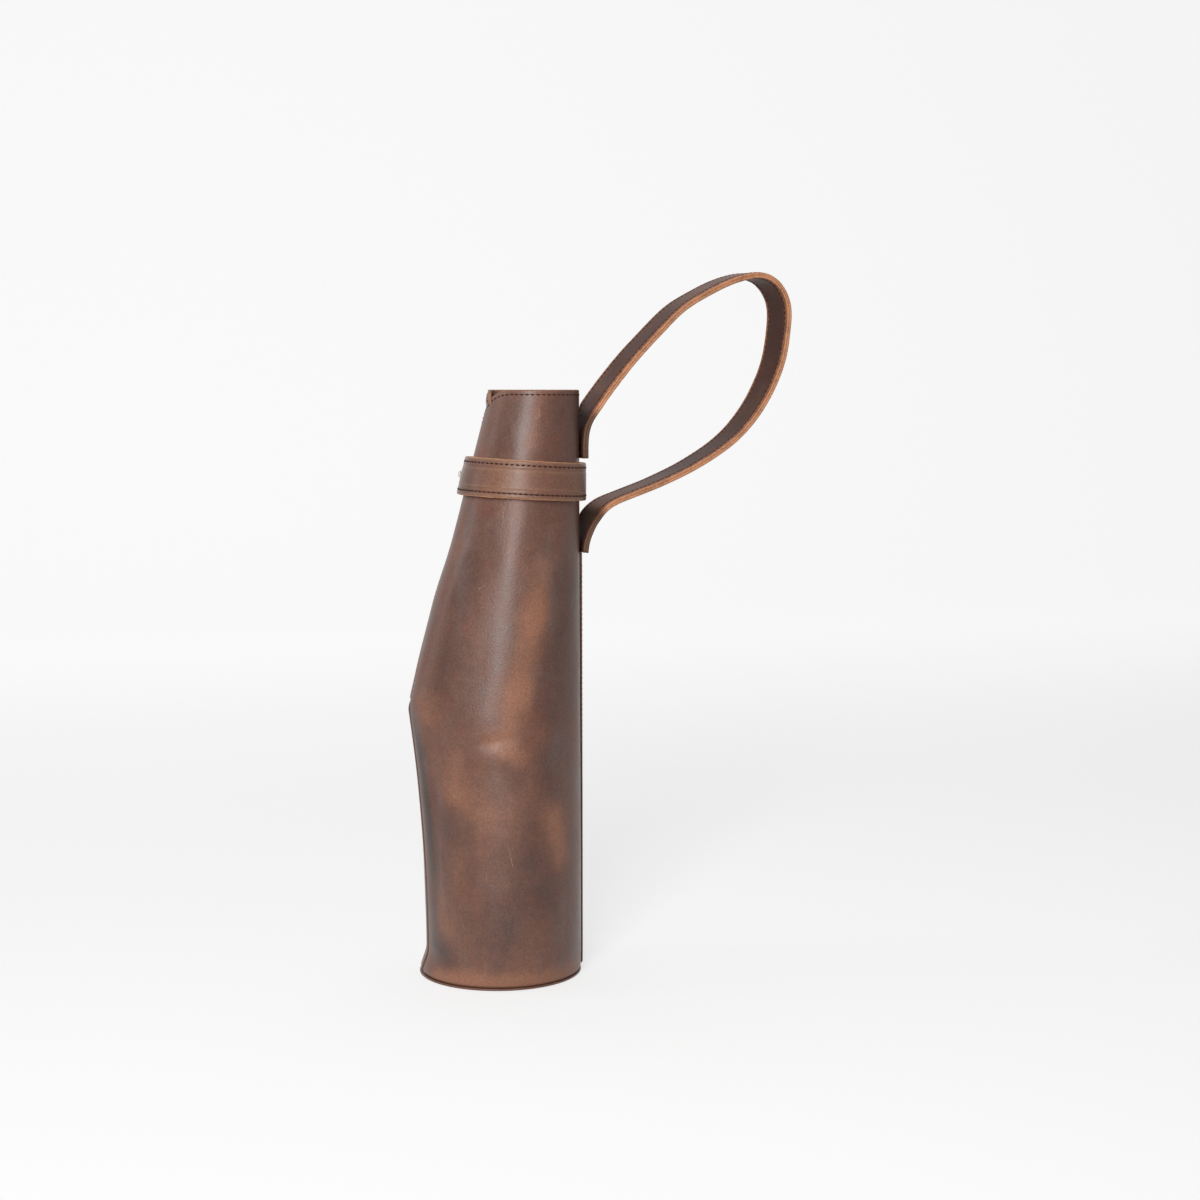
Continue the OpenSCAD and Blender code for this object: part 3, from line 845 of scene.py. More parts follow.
def ragged(s, across, width, seed):
    """Small uneven wander of a strap's hand-cut edges, by length along it and place across."""
    s = s / MM
    waves = np.sin(s * 0.9 + seed) + np.sin(s * 2.3 + 2 * seed) + np.sin(s * 0.31 + seed)
    return waves * RAGGED * np.sign(across) * (abs(across) > width / 2 - MM)


class Neck:
    """The neck strap: a band on the sleeve's skin, its height by angle."""

    def __init__(self, settings):
        self.body, self.straps, self.skin = settings.body, settings.straps, Skin(settings.body)
        gap, layer = self.straps.gap, self.straps.layer
        self.out = gap + 2 * layer
        self.lift_height = self.out - gap + settings.stud.collar_thickness + COLLAR_ROOM

    def middle_z(self, f):
        """The band runs a little lower at the spine."""
        s = self.straps
        return self.body.height - s.neck_down - s.neck_drop / 2 * np.cos(f)

    def lift(self, f):
        """The tab's rise over the near flap's stitches, and then over the far arm."""
        over_stitches = STITCH_STEP * fall(f, STEP_TO, STEP_FROM - STEP_TO)
        over_arm = (self.lift_height - STITCH_STEP) * fall(f, LIFT_TO, LIFT_FROM - LIFT_TO)
        return over_stitches + over_arm

    def layer(self, f, across, out, lift=0.0):
        """Middle points of one layer, a grid of across rows and angle columns."""
        f, across = np.meshgrid(f, across)
        z = self.middle_z(f)
        stand = self.skin.level(f, z) * (out + lift * self.lift(f))[..., None]
        return self.skin.at(f, z + across) + stand, f, across


def strap_object(
    name,
    middle,
    across,
    material,
    tone,
    settings,
    face_up=True,
    creased=True,
    worn=None,
    shade_and_grime=0.0,
    flat_start=False,
    mirrored=False,
):
    """One strap layer with raw edges, its sewn face up or down, worn bright along its edges, with a
    painted highlight beside each crease.
    """
    width, inset = settings.straps.width, settings.stitching.inset
    if not face_up:
        middle, across = middle[:, ::-1], across[:, ::-1]
    carve = strap_carve(across, width, inset, creased)
    shell = Shell(middle, settings.straps.layer, bulge=0.3, carve=carve, flat_start=flat_start)
    from_edge = width / 2 - abs(across)
    edge = fall(from_edge, worn / 2, worn) if worn else np.exp(-from_edge / EDGE_LIGHT)
    if creased:
        # The light line beside the crease is a painted highlight, laid in with the wear
        crease = bell(from_edge - inset - CREASE_HIGHLIGHT_IN, CREASE_HIGHLIGHT_WIDE)
        edge = np.maximum(edge, CREASE_HIGHLIGHT * crease)
    row = bell(from_edge - inset, ROW_DENT[1])
    obj = mesh_object(
        name,
        shell.points,
        shell.faces,
        shell.kinds,
        [MATERIALS[material], MATERIALS["flesh"], MATERIALS["edge"]],
        {
            "tone": shell.spread(tone + 0 * across),
            "wear_and_highlight": shell.spread(edge),
            # Darker along the stitch rows, and where a piece is given painted shade and grime
            "shade_and_grime": shell.spread(np.maximum(row * ROW_DARKENING, shade_and_grime)),
        },
        mirrored=mirrored,
    )
    return obj, shell


class CARRIER_OT_neck_strap(bpy.types.Operator):
    """Build the neck strap's two sewn layers round the near and the far side"""

    bl_idname = "carrier.neck_strap"
    bl_label = "Neck Strap"

    def execute(self, context):
        settings = context.scene.bottle_carrier
        straps, neck = settings.straps, Neck(settings)
        across = strap_samples(straps.width, settings.stitching.inset)
        for side, arm, end, nodes in (
            (NEAR, "near", 2 * math.pi - TAB_FROM, ("near_strap", "back_strap")),
            (FAR, "far", FAR_END, ("far_strap",)),
        ):
            f = np.linspace(0, end, int(end / ARM_STEP) + 1)
            for layer, (material, slot, place) in LAYERS.items():
                middle, angles, rows = neck.layer(f, across, straps.gap + straps.layer * place)
                s = angles * neck.skin.size(neck.middle_z(angles))
                middle[..., 2] += ragged(s, rows, straps.width, 1.0 + side)
                # Lighter round the back; darker towards the front, painted shade where the strap
                # turns away from the light
                tone = 0.15 * np.sin(angles * 3 + 1) + 0.15 - 0.6 * ramp(angles, 2.05, 0.7)
                obj, shell = strap_object(
                    f"neck_strap_{arm}_{layer}",
                    middle,
                    rows,
                    material,
                    tone,
                    settings,
                    flat_start=True,
                    mirrored=side == NEAR,
                )
                share_normals(obj, shell)
                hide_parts(*(f"{node}_{layer}" for node in nodes))
                bend_side(obj)
                KEPT_SHELLS["neck", side, layer] = shell, across
        return {"FINISHED"}


def bend_tab(obj):
    """Bake the tab's transform into its mesh, where it stays."""
    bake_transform(obj)


class CARRIER_OT_tab(bpy.types.Operator):
    """Build the tab that buttons on the stud, with its hole and slit"""

    bl_idname = "carrier.tab"
    bl_label = "Tab"

    def execute(self, context):
        settings = context.scene.bottle_carrier
        straps, neck = settings.straps, Neck(settings)
        across = strap_samples(straps.width, settings.stitching.inset)
        f = np.linspace(TAB_TO, TAB_FROM, 60)
        for layer, (material, slot, place) in LAYERS.items():
            out = straps.gap + straps.layer * place
            middle, angles, rows = neck.layer(f, across, out, lift=1.0)
            tone = 0.2 * np.sin(angles * 5) - 0.3
            obj, shell = strap_object(
                f"tab_{layer}_leather", middle, rows, material, tone, settings
            )
            cut_stud_hole(obj, settings)
            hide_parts(f"tab_{layer}")
            bend_tab(obj)
            KEPT_SHELLS["tab", layer] = shell, across
        return {"FINISHED"}


def cut_stud_hole(obj, settings):
    """A round hole for the stud's neck, and a slit beside it that lets the ball through."""
    place, axes = stud_frame(settings)
    radius = settings.stud.neck / 2 + HOLE_ROOM
    slit, half = settings.straps.width / 3, SLIT_HALF
    turns = np.linspace(0, 2 * math.pi, 28, endpoint=False)
    outline = [(radius * math.cos(t), radius * math.sin(t)) for t in turns]
    outline = [(x, y) for x, y in outline if not (y > 0 and abs(x) < half)]
    first = next(i for i, (x, y) in enumerate(outline) if x < 0 and y > 0)
    outline[first:first] = [(half, slit), (0, slit + half), (-half, slit)]
    n = len(outline)
    # The cutter reaches from under the skin to well above the tab
    points = [
        list(Vector(place) + axes @ Vector((x, y, z)))
        for z in (-0.5 * MM, 14 * MM)
        for x, y in outline
    ]
    faces = [list(range(n))[::-1], list(range(n, 2 * n))]
    faces += [[k, (k + 1) % n, n + (k + 1) % n, n + k] for k in range(n)]
    cutter = mesh_object("stud_hole_cutter", points, faces, [0] * len(faces), [])
    cut = obj.modifiers.new("stud_hole", "BOOLEAN")
    cut.operation, cut.solver, cut.object = "DIFFERENCE", "EXACT", cutter
    bake_modifiers(obj)
    bpy.data.objects.remove(cutter)


def bake_modifiers(obj):
    """The evaluated mesh takes the place of the object's own."""
    evaluated = obj.evaluated_get(bpy.context.evaluated_depsgraph_get())
    mesh = bpy.data.meshes.new_from_object(evaluated)
    obj.modifiers.clear()
    obj.data = mesh


# --- The handle --------------------------------------------------------------------------------

# The loop's path in the plane through the spine, as shares of its reach and its height
LOOP_PATH = [
    (0, 0), (0.002, 0.027), (0.012, 0.058), (0.038, 0.118), (0.103, 0.168), (0.207, 0.199),
    (0.366, 0.243), (0.553, 0.309), (0.735, 0.401), (0.87, 0.521), (0.963, 0.667), (0.996, 0.8),
    (0.998, 0.894), (0.958, 0.958), (0.902, 0.992), (0.83, 1), (0.717, 0.978), (0.599, 0.936),
    (0.46, 0.872), (0.333, 0.778), (0.217, 0.684), (0.105, 0.578), (0.03, 0.495), (0.004, 0.429),
    (0, 0.379), (0, 0.336),
]  # fmt: skip
# The places along the loop are this far apart, and it is smoothed over this length, by so many
# places to each side
LOOP_STEP, LOOP_BLUR, BLUR_PLACES = 1.25 * MM, 3.2 * MM, 8


def smooth_curve(points, steps=24):
    """A curve through points, each stretch shaped by its neighbours too (Catmull-Rom)."""
    line, last = [], len(points) - 1
    for k in range(last):
        p0, p1 = points[max(0, k - 1)], points[k]
        p2, p3 = points[k + 1], points[min(last, k + 2)]
        square, cube = 2 * p0 - 5 * p1 + 4 * p2 - p3, 3 * p1 - p0 - 3 * p2 + p3
        for s in np.arange(0, 1, 1 / steps):
            line.append((2 * p1 + (p2 - p0) * s + square * s**2 + cube * s**3) / 2)
    return np.array(line + [points[-1]])


def loop_line(settings):
    """Points of the handle's middle line: distance from the spine, and height."""
    straps, handle, body = settings.straps, settings.handle, settings.body
    start = straps.gap + straps.layer
    low = body.height - handle.lower_down
    size = np.array([handle.reach - start, body.height + handle.height - low])
    points = np.array([start, low]) + np.array(LOOP_PATH) * size
    points[-1, 1] = body.height - handle.upper_down
    line = smooth_curve(points)
    run = along_line(line)
    even = np.linspace(0, run[-1], int(run[-1] / LOOP_STEP) + 1)
    line = resampled(line, run, even)
    places = np.arange(-BLUR_PLACES, BLUR_PLACES + 1)
    window = bell(places * LOOP_STEP, math.sqrt(2) * LOOP_BLUR)
    window /= window.sum()
    ends = ((BLUR_PLACES, BLUR_PLACES), (0, 0))
    padded = np.pad(line, ends, mode="reflect", reflect_type="odd")
    smooth = np.stack([np.convolve(column, window, "valid") for column in padded.T], -1)
    smooth[:, 0] = np.maximum(smooth[:, 0], start)
    return smooth, even


def loop_places(settings):
    """The handle's places: point, direction across, direction out, and length along."""
    line, run = loop_line(settings)
    handle, straps = settings.handle, settings.straps
    start = straps.gap + straps.layer
    turn = handle.turn * ramp(line[:, 0], start, handle.turn_reach - start)
    flat = np.stack([np.cos(turn), np.sin(turn), 0 * turn], -1)
    along = unit(np.gradient(line, axis=0))
    point = flat * line[:, :1] + [settings.body.base_diameter / 2, 0, 0]
    point[:, 2] = line[:, 1]
    across = np.stack([-np.sin(turn), np.cos(turn), 0 * turn], -1)
    out = flat * along[:, 1:] - np.array([0, 0, 1]) * along[:, :1]
    return point, across, out, run


def bend_handle(obj):
    """Bake the handle's transform into its mesh, where it stays."""
    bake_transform(obj)


class CARRIER_OT_handle(bpy.types.Operator):
    """Build the handle's two sewn layers, from its lower sewn end round to its upper one"""

    bl_idname = "carrier.handle"
    bl_label = "Handle"

    def execute(self, context):
        settings = context.scene.bottle_carrier
        straps = settings.straps
        point, across_way, out, run = loop_places(settings)
        across = strap_samples(straps.width, settings.stitching.inset)
        s, rows = np.meshgrid(run, across, indexing="ij")
        rows_in = rows + ragged(s, rows, straps.width, 4.0)
        middle = point[:, None] + across_way[:, None] * rows_in[..., None]
        tone = 0.25 * np.sin(s / MM / 23) * np.sin(s / MM / 61 + 1) - 0.1
        # Darker where it meets the sleeve: wax from handling, and painted shade close to the sleeve
        dark_ends = 0.9 * fall(np.minimum(s, run[-1] - s), 20 * MM, 8 * MM)
        for layer, place, nodes in (
            ("outer", 0.5, ("handle_outer", "handle_ends")),
            ("lining", -0.5, ("handle_lining",)),
        ):
            face_up = layer == "outer"
            obj, shell = strap_object(
                f"handle_{layer}_leather",
                middle + out[:, None] * straps.layer * place,
                rows,
                "handle",
                tone,
                settings,
                face_up=face_up,
                creased=False,
                worn=2.4 * MM,
                shade_and_grime=dark_ends,
            )
            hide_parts(*nodes)
            bend_handle(obj)
            KEPT_SHELLS["handle", layer] = shell, across if face_up else across[::-1]
        return {"FINISHED"}


class CARRIER_OT_spine_strip(bpy.types.Operator):
    """Build the strip sewn over the spine below the handle"""

    bl_idname = "carrier.spine_strip"
    bl_label = "Spine Strip"

    def execute(self, context):
        settings = context.scene.bottle_carrier
        straps, inset, skin = settings.straps, settings.stitching.inset, Skin(settings.body)
        width, thickness = straps.spine_width, straps.spine_thickness
        top = settings.body.height - settings.handle.lower_down - 0.4 * MM
        heights, insets = wall_rows(skin)
        # It starts where the panel's lower edge is almost done turning
        kept = (heights < top - MM) & (np.arange(len(heights)) > 4)
        heights = np.append(heights[kept], top)[:, None]
        insets = np.append(insets[kept], 0)[:, None]
        across = strap_samples(width, inset)
        rows = across + 0 * heights
        f = np.arcsin((rows + ragged(heights, rows, width, 2.0)) / skin.half_y(heights))
        middle = skin.at(f, heights, straps.gap + thickness / 2 - insets)
        carve = strap_carve(rows, width, inset, creased=False)
        shell = Shell(middle, thickness, bulge=0.3, carve=carve * 0.7)
        edge = np.exp(-(width / 2 - abs(rows)) / (0.5 * MM))
        obj = mesh_object(
            "spine_cover",
            shell.points,
            shell.faces,
            shell.kinds,
            [MATERIALS["body"], MATERIALS["flesh"], MATERIALS["dark_edge"]],
            {
                "tone": shell.spread(0.3 * np.sin(heights / MM / 19) - 0.2),
                "wear_and_highlight": shell.spread(edge * 0.5),
                "shade_and_grime": shell.spread(0.0),
            },
        )
        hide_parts("spine_strip")
        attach(obj, "sleeve")
        KEPT_SHELLS["spine", "outer"] = shell, across
        return {"FINISHED"}


# --- The stud ----------------------------------------------------------------------------------


def stud_frame(settings):
    """Where the stud stands on the skin, and its axes: square to the sloping far side."""
    neck = Neck(settings)
    skin, f = neck.skin, STUD_AT
    z = float(neck.middle_z(f)) - settings.stud.drop
    side = unit(skin.at(f + 0.02, z) - skin.at(f - 0.02, z))
    out = unit(np.cross(side, skin.at(f, z + MM) - skin.at(f, z - MM)))
    # x runs down the strap, y along it towards the hinge, z out of the skin
    axes = Matrix([np.cross(side, out), side, out]).transposed()
    return skin.at(f, z), axes


class CARRIER_OT_stud(bpy.types.Operator):
    """Build the ball stud and the screw that holds it from behind"""

    bl_idname = "carrier.stud"
    bl_label = "Stud"

    def execute(self, context):
        settings = context.scene.bottle_carrier
        stud, gap, neck = settings.stud, settings.straps.gap, Neck(settings)
        place, axes = stud_frame(settings)
        lean = float(axes.col[2] @ Vector(neck.skin.level(STUD_AT, place[2])))
        ball, collar, stem = stud.ball / 2, stud.collar / 2, stud.neck / 2
        thick = stud.collar_thickness
        # Heights over the skin: the stem's foot, the collar's seat, the tab's top and the ball
        foot = gap * 2 + thick
        seat = neck.out * lean + gap
        top = (neck.out + neck.lift_height) * lean + gap
        middle = top + ball
        profile = [(0, foot), (stem * 0.8, foot)]
        profile += [(stem, foot + 0.1 * MM), (stem, seat - 0.05 * MM)]
        profile += [(collar - 0.25 * MM, seat), (collar - 0.06 * MM, seat + 0.08 * MM)]
        profile += [(collar, seat + thick * 0.5), (collar - 0.08 * MM, seat + thick * 0.85)]
        profile += [(collar - 0.3 * MM, seat + thick), (stem + 0.55 * MM, seat + thick)]
        profile += [(stem + 0.2 * MM, seat + thick + 0.12 * MM)]
        # The stem narrows under the ball, which is rounded from there almost to its pole
        waist, pole = stem * 0.82, 0.16
        profile += [(stem * 0.86, seat + thick + 0.5 * MM), (waist, top - 0.2 * MM)]
        arc = np.linspace(math.pi - math.asin(min(1, waist / ball)), pole, 16)
        profile += [(ball * math.sin(a), middle + ball * math.cos(a)) for a in arc]
        profile += [(0, middle + ball * math.cos(pole))]
        self.build("stud_ball", profile, place, axes, "stud")
        head = [(0, gap), (collar - 0.2 * MM, gap), (collar, gap + 0.15 * MM)]
        head += [(collar - 0.05 * MM, gap + thick * 0.8), (collar - 0.3 * MM, gap + thick)]
        shank = stem * 0.55
        head += [(shank, gap + thick), (shank, foot - 0.01 * MM), (0, foot - 0.01 * MM)]
        self.build("stud_back_screw", head, place, axes, "stud_screw")
        return {"FINISHED"}

    def build(self, name, profile, place, axes, node):
        """A turned piece of the stud, for the node that it stands for."""
        points, faces = lathe(profile, 48)
        points = [list(Vector(place) + axes @ Vector(p)) for p in points.tolist()]
        obj = mesh_object(name, points, faces, [0] * len(faces), [MATERIALS["nickel"]])
        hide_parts(node)
        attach(obj, "far_side")


# --- Stitches ----------------------------------------------------------------------------------

# A stitch is a bead, tipped a little at random (radians); its width and height, and the length,
# width and height of the painted-shade bead for the hole between two stitches, are shares of the
# thread
STITCH_TILT = (0.05, 0.05, 0.10)
STITCH_BEAD, HOLE_SHADE_BEAD = (1.0, 0.65), (0.6, 0.85, 0.14)
# How far a row's middle line stands over a strap, and how deep it is sunk along the panel's rim
# and down its free edge, by this far below the rim
STITCH_LIFT = 0.05 * MM
RIM_SUNK, EDGE_SUNK, SUNK_BELOW = 0.04 * MM, 0.22 * MM, 40 * MM
# The hidden rows: in from the front seam's turn and off its flange, and in and up from the base's
# lower edge
SEAM_ROW_IN, SEAM_ROW_OFF = 2.6 * MM, 0.12 * MM
BASE_ROW_IN, BASE_ROW_UP = 5.45 * MM, 4.2 * MM


def stitch_tree():
    """Geometry nodes that lay stitches, with dark beads of painted shade for their holes, along
    paths that carry an out direction.
    """
    tree = bpy.data.node_groups.new("Stitch Row", "GeometryNodeTree")
    face = tree.interface
    face.new_socket("Geometry", in_out="OUTPUT", socket_type="NodeSocketGeometry")
    face.new_socket("Geometry", in_out="INPUT", socket_type="NodeSocketGeometry")
    for name in ("Pitch", "Stitch Length", "Thread"):
        face.new_socket(name, in_out="INPUT", socket_type="NodeSocketFloat")
    for name in ("Thread Finish", "Hole Shade Finish"):
        face.new_socket(name, in_out="INPUT", socket_type="NodeSocketMaterial")
    n = Nodes(tree)
    given, result = n.add("NodeGroupInput"), n.add("NodeGroupOutput")
    thread = given.outputs["Thread"]
    curve = n.add("GeometryNodeMeshToCurve", {"Mesh": given.outputs["Geometry"]})
    out = n.add("GeometryNodeInputNamedAttribute", {"Name": "out"}, data_type="FLOAT_VECTOR")
    joined = n.add("GeometryNodeJoinGeometry")
    for hole in (False, True):
        spacing = n.math("MULTIPLY", given.outputs["Pitch"], 0.5 if hole else 1.0)
        row = n.add("GeometryNodeResampleCurve", {"Curve": curve, "Length": spacing}, mode="LENGTH")
        turn = n.add(
            "FunctionNodeAxesToRotation",
            {0: out, 1: n.add("GeometryNodeInputTangent")},
            primary_axis="Z",
            secondary_axis="X",
        )
        wobble = n.add(
            "FunctionNodeRandomValue",
            {"Min": tuple(-tilt for tilt in STITCH_TILT), "Max": STITCH_TILT, "Seed": 7},
            data_type="FLOAT_VECTOR",
        )
        tilt = n.add("FunctionNodeEulerToRotation", {0: wobble})
        turn = n.add("FunctionNodeRotateRotation", {0: turn, 1: tilt}, rotation_space="LOCAL")
        if hole:
            size = [n.math("MULTIPLY", thread, share) for share in HOLE_SHADE_BEAD]
        else:
            size = [n.math("MULTIPLY", thread, share) for share in STITCH_BEAD]
            size.insert(0, given.outputs["Stitch Length"])
        bead = n.add("GeometryNodeMeshUVSphere", {"Segments": 8, "Rings": 6, "Radius": 0.5})
        bead = n.add("GeometryNodeSetShadeSmooth", {0: bead})
        size = n.add("ShaderNodeCombineXYZ", dict(enumerate(size)))
        bead = n.add("GeometryNodeTransform", {0: bead, "Scale": size})
        laid = n.add(
            "GeometryNodeInstanceOnPoints", {"Points": row, "Instance": bead, "Rotation": turn}
        )
        if hole:
            # Only every second place is a gap between stitches, where the hole's painted shade is
            # laid
            odd = n.math("MODULO", n.add("GeometryNodeInputIndex"), 2.0)
            n.link(n.math("GREATER_THAN", odd, 0.5), laid.inputs["Selection"])
        real = n.add("GeometryNodeRealizeInstances", {0: laid})
        finish = given.outputs["Hole Shade Finish" if hole else "Thread Finish"]
        painted = n.add("GeometryNodeSetMaterial", {"Geometry": real, "Material": finish})
        n.link(painted, joined.inputs[0])
    n.link(joined, result.inputs[0])
    return tree


def stitch_object(name, paths, settings, tree):
    """One object of stitches along paths, each a list of points and their out directions."""
    points, outs, edges = [], [], []
    for line, out in paths:
        first = len(points)
        points += [list(map(float, p)) for p in line]
        outs += [list(map(float, d)) for d in out]
        edges += [(first + k, first + k + 1) for k in range(len(line) - 1)]
    mesh = bpy.data.meshes.new(name)
    mesh.from_pydata(points, edges, [])
    attribute = mesh.attributes.new("out", "FLOAT_VECTOR", "POINT")
    attribute.data.foreach_set("vector", np.array(outs, np.float32).ravel())
    obj = bpy.data.objects.new(name, mesh)
    bpy.context.scene.collection.objects.link(obj)
    nodes = obj.modifiers.new("stitches", "NODES")
    nodes.node_group = tree
    sizes = settings.stitching
    values = {
        "Pitch": sizes.pitch,
        "Stitch Length": sizes.stitch,
        "Thread": sizes.thread,
        "Thread Finish": MATERIALS["thread"],
        "Hole Shade Finish": MATERIALS["hole"],
    }
    for socket in tree.interface.items_tree:
        if socket.in_out == "INPUT" and socket.name in values:
            nodes[socket.identifier] = values[socket.name]
    bake_modifiers(obj)
    return obj


def strap_row(piece, place, trim=0, inner=False, mirrored=False, by_rows=False):
    """A path along a strap's kept shell, at one place across it, trimmed at both its ends."""
    shell, across = KEPT_SHELLS[piece]
    k = int(np.argmin(abs(across - place)))
    surface, out = (shell.inner, -shell.out) if inner else (shell.outer, shell.out)
    line, way = (surface[:, k], out[:, k]) if by_rows else (surface[k], out[k])
    kept = slice(trim, len(line) - trim)
    flip = [1, -1 if mirrored else 1, 1]
    return (line + way * STITCH_LIFT)[kept] * flip, way[kept] * flip


def border_row(side, settings, inner=False):
    """The topstitch of a panel half: inside the rim, round the corner and down the free edge."""
    shell, body = KEPT_SHELLS["panel", side], settings.body
    surface = shell.inner if inner else shell.outer
    low = int(np.searchsorted(shell.middle[:, -1, 2], body.seam_height + 7 * MM))
    border, out = (
        np.concatenate([grid[-1], grid[low:-1, -1][::-1]]) for grid in (surface, shell.out)
    )
    run = along_line(border)
    even = np.linspace(0.5 * MM, run[-1], int(run[-1] / MM))
    border, out = resampled(border, run, even), unit(resampled(out, run, even))
    inward = unit(np.cross(np.gradient(border, axis=0), out))
    wanted = border + inward * settings.stitching.inset
    quads = grid_quads(*surface.shape[:2])
    tree = BVHTree.FromPolygons(surface.reshape(-1, 3).tolist(), quads.tolist())
    line = np.array([list(tree.find_nearest(Vector(p))[0]) for p in wanted])
    line -= out * mix(RIM_SUNK, EDGE_SUNK, ramp(body.height - line[:, 2:], 0, SUNK_BELOW))
    flip = [1, -1 if side == NEAR else 1, 1]
    return line * flip, (-out if inner else out) * flip


class CARRIER_OT_stitching(bpy.types.Operator):
    """Lay every row of stitches with geometry nodes, one object for each piece that carries them"""

    bl_idname = "carrier.stitching"
    bl_label = "Stitching"

    def execute(self, context):
        settings = context.scene.bottle_carrier
        body, straps, inset = settings.body, settings.straps, settings.stitching.inset
        tree = stitch_tree()

        def sew(name, paths, *nodes):
            obj = stitch_object(name, paths, settings, tree)
            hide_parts(*nodes)
            return obj

        def rows(width, *piece, **ways):
            row = width / 2 - inset
            return [strap_row(piece, place, **ways) for place in (-row, row)]

        for side, name, nodes in (
            (NEAR, "rim_stitches_near", ("rim_stitching", "near_flap_stitching")),
            (FAR, "rim_stitches_far", ("far_flap_stitching",)),
        ):
            paths = [border_row(side, settings), border_row(side, settings, inner=True)]
            bend_side(sew(name, paths, *nodes))
        for side, name, nodes in (
            (NEAR, "neck_stitches_near", ("near_strap_stitching", "back_strap_stitching")),
            (FAR, "neck_stitches_far", ("far_strap_stitching",)),
        ):
            paths = rows(straps.width, "neck", side, "outer", mirrored=side == NEAR)
            bend_side(sew(name, paths, *nodes))

        paths = rows(straps.width, "tab", "outer", trim=2)
        paths += rows(straps.width, "tab", "lining", trim=2, inner=True)
        bend_tab(sew("tab_stitches", paths, "tab_stitching"))

        paths = rows(straps.width, "handle", "outer", trim=2, by_rows=True)
        paths += rows(straps.width, "handle", "lining", trim=2, by_rows=True)
        bend_handle(sew("handle_stitches", paths, "handle_stitching"))

        paths = rows(straps.spine_width, "spine", "outer", trim=4, by_rows=True)
        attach(sew("spine_stitches", paths, "spine_stitching"), "sleeve")

        # Inside the sleeve: the front seam's thread on both sides of its flange, and the base's
        z = spaced(12 * MM, body.seam_height - 6 * MM, 2 * MM)
        x = Skin(body).at(math.pi, z, -body.thickness)[:, 0] + SEAM_TURN + SEAM_ROW_IN
        off = body.thickness + SEAM_ROW_OFF
        paths = [
            (np.stack([x, side * off + 0 * z, z], -1), np.tile([0.0, side, 0.0], (len(z), 1)))
            for side in (NEAR, FAR)
        ]
        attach(sew("front_seam_stitches", paths, "front_seam_thread"), "sleeve")

        turns = np.linspace(0, 2 * math.pi, 181)
        radial = np.stack([np.cos(turns), np.sin(turns), 0 * turns], -1)
        ring = radial * (body.base_diameter / 2 - BASE_ROW_IN) + [0, 0, BASE_ROW_UP]
        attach(sew("base_seam_stitches", [(ring, -radial)], "base_seam_thread"), "sleeve")
        return {"FINISHED"}


# --- Materials ---------------------------------------------------------------------------------

MATERIALS = {}
# Colours beside those of the settings: straps and handle rubbed bright, also in the straps' painted
# crease highlight, painted shade and grime, and a scratch
STRAP_BRIGHT, LINING_BRIGHT = (0.40, 0.22, 0.13), (0.38, 0.20, 0.12)
HANDLE_BRIGHT = (0.47, 0.20, 0.11)
SHADE_AND_GRIME, SCRATCH_PALE = (0.012, 0.007, 0.006), (0.48, 0.30, 0.22)
# Painted shade in a stitch hole: its darkest and palest colours
HOLE_SHADE_DARK, HOLE_SHADE_PALE = (0.008, 0.005, 0.004), (0.030, 0.014, 0.010)
# Leather's gloss: its wax coat's share of it and how rough that is; and the grain's depth
COAT_SHARE, COAT_ROUGHNESS, GRAIN_DEPTH = 0.25, 0.3, 0.18 * MM


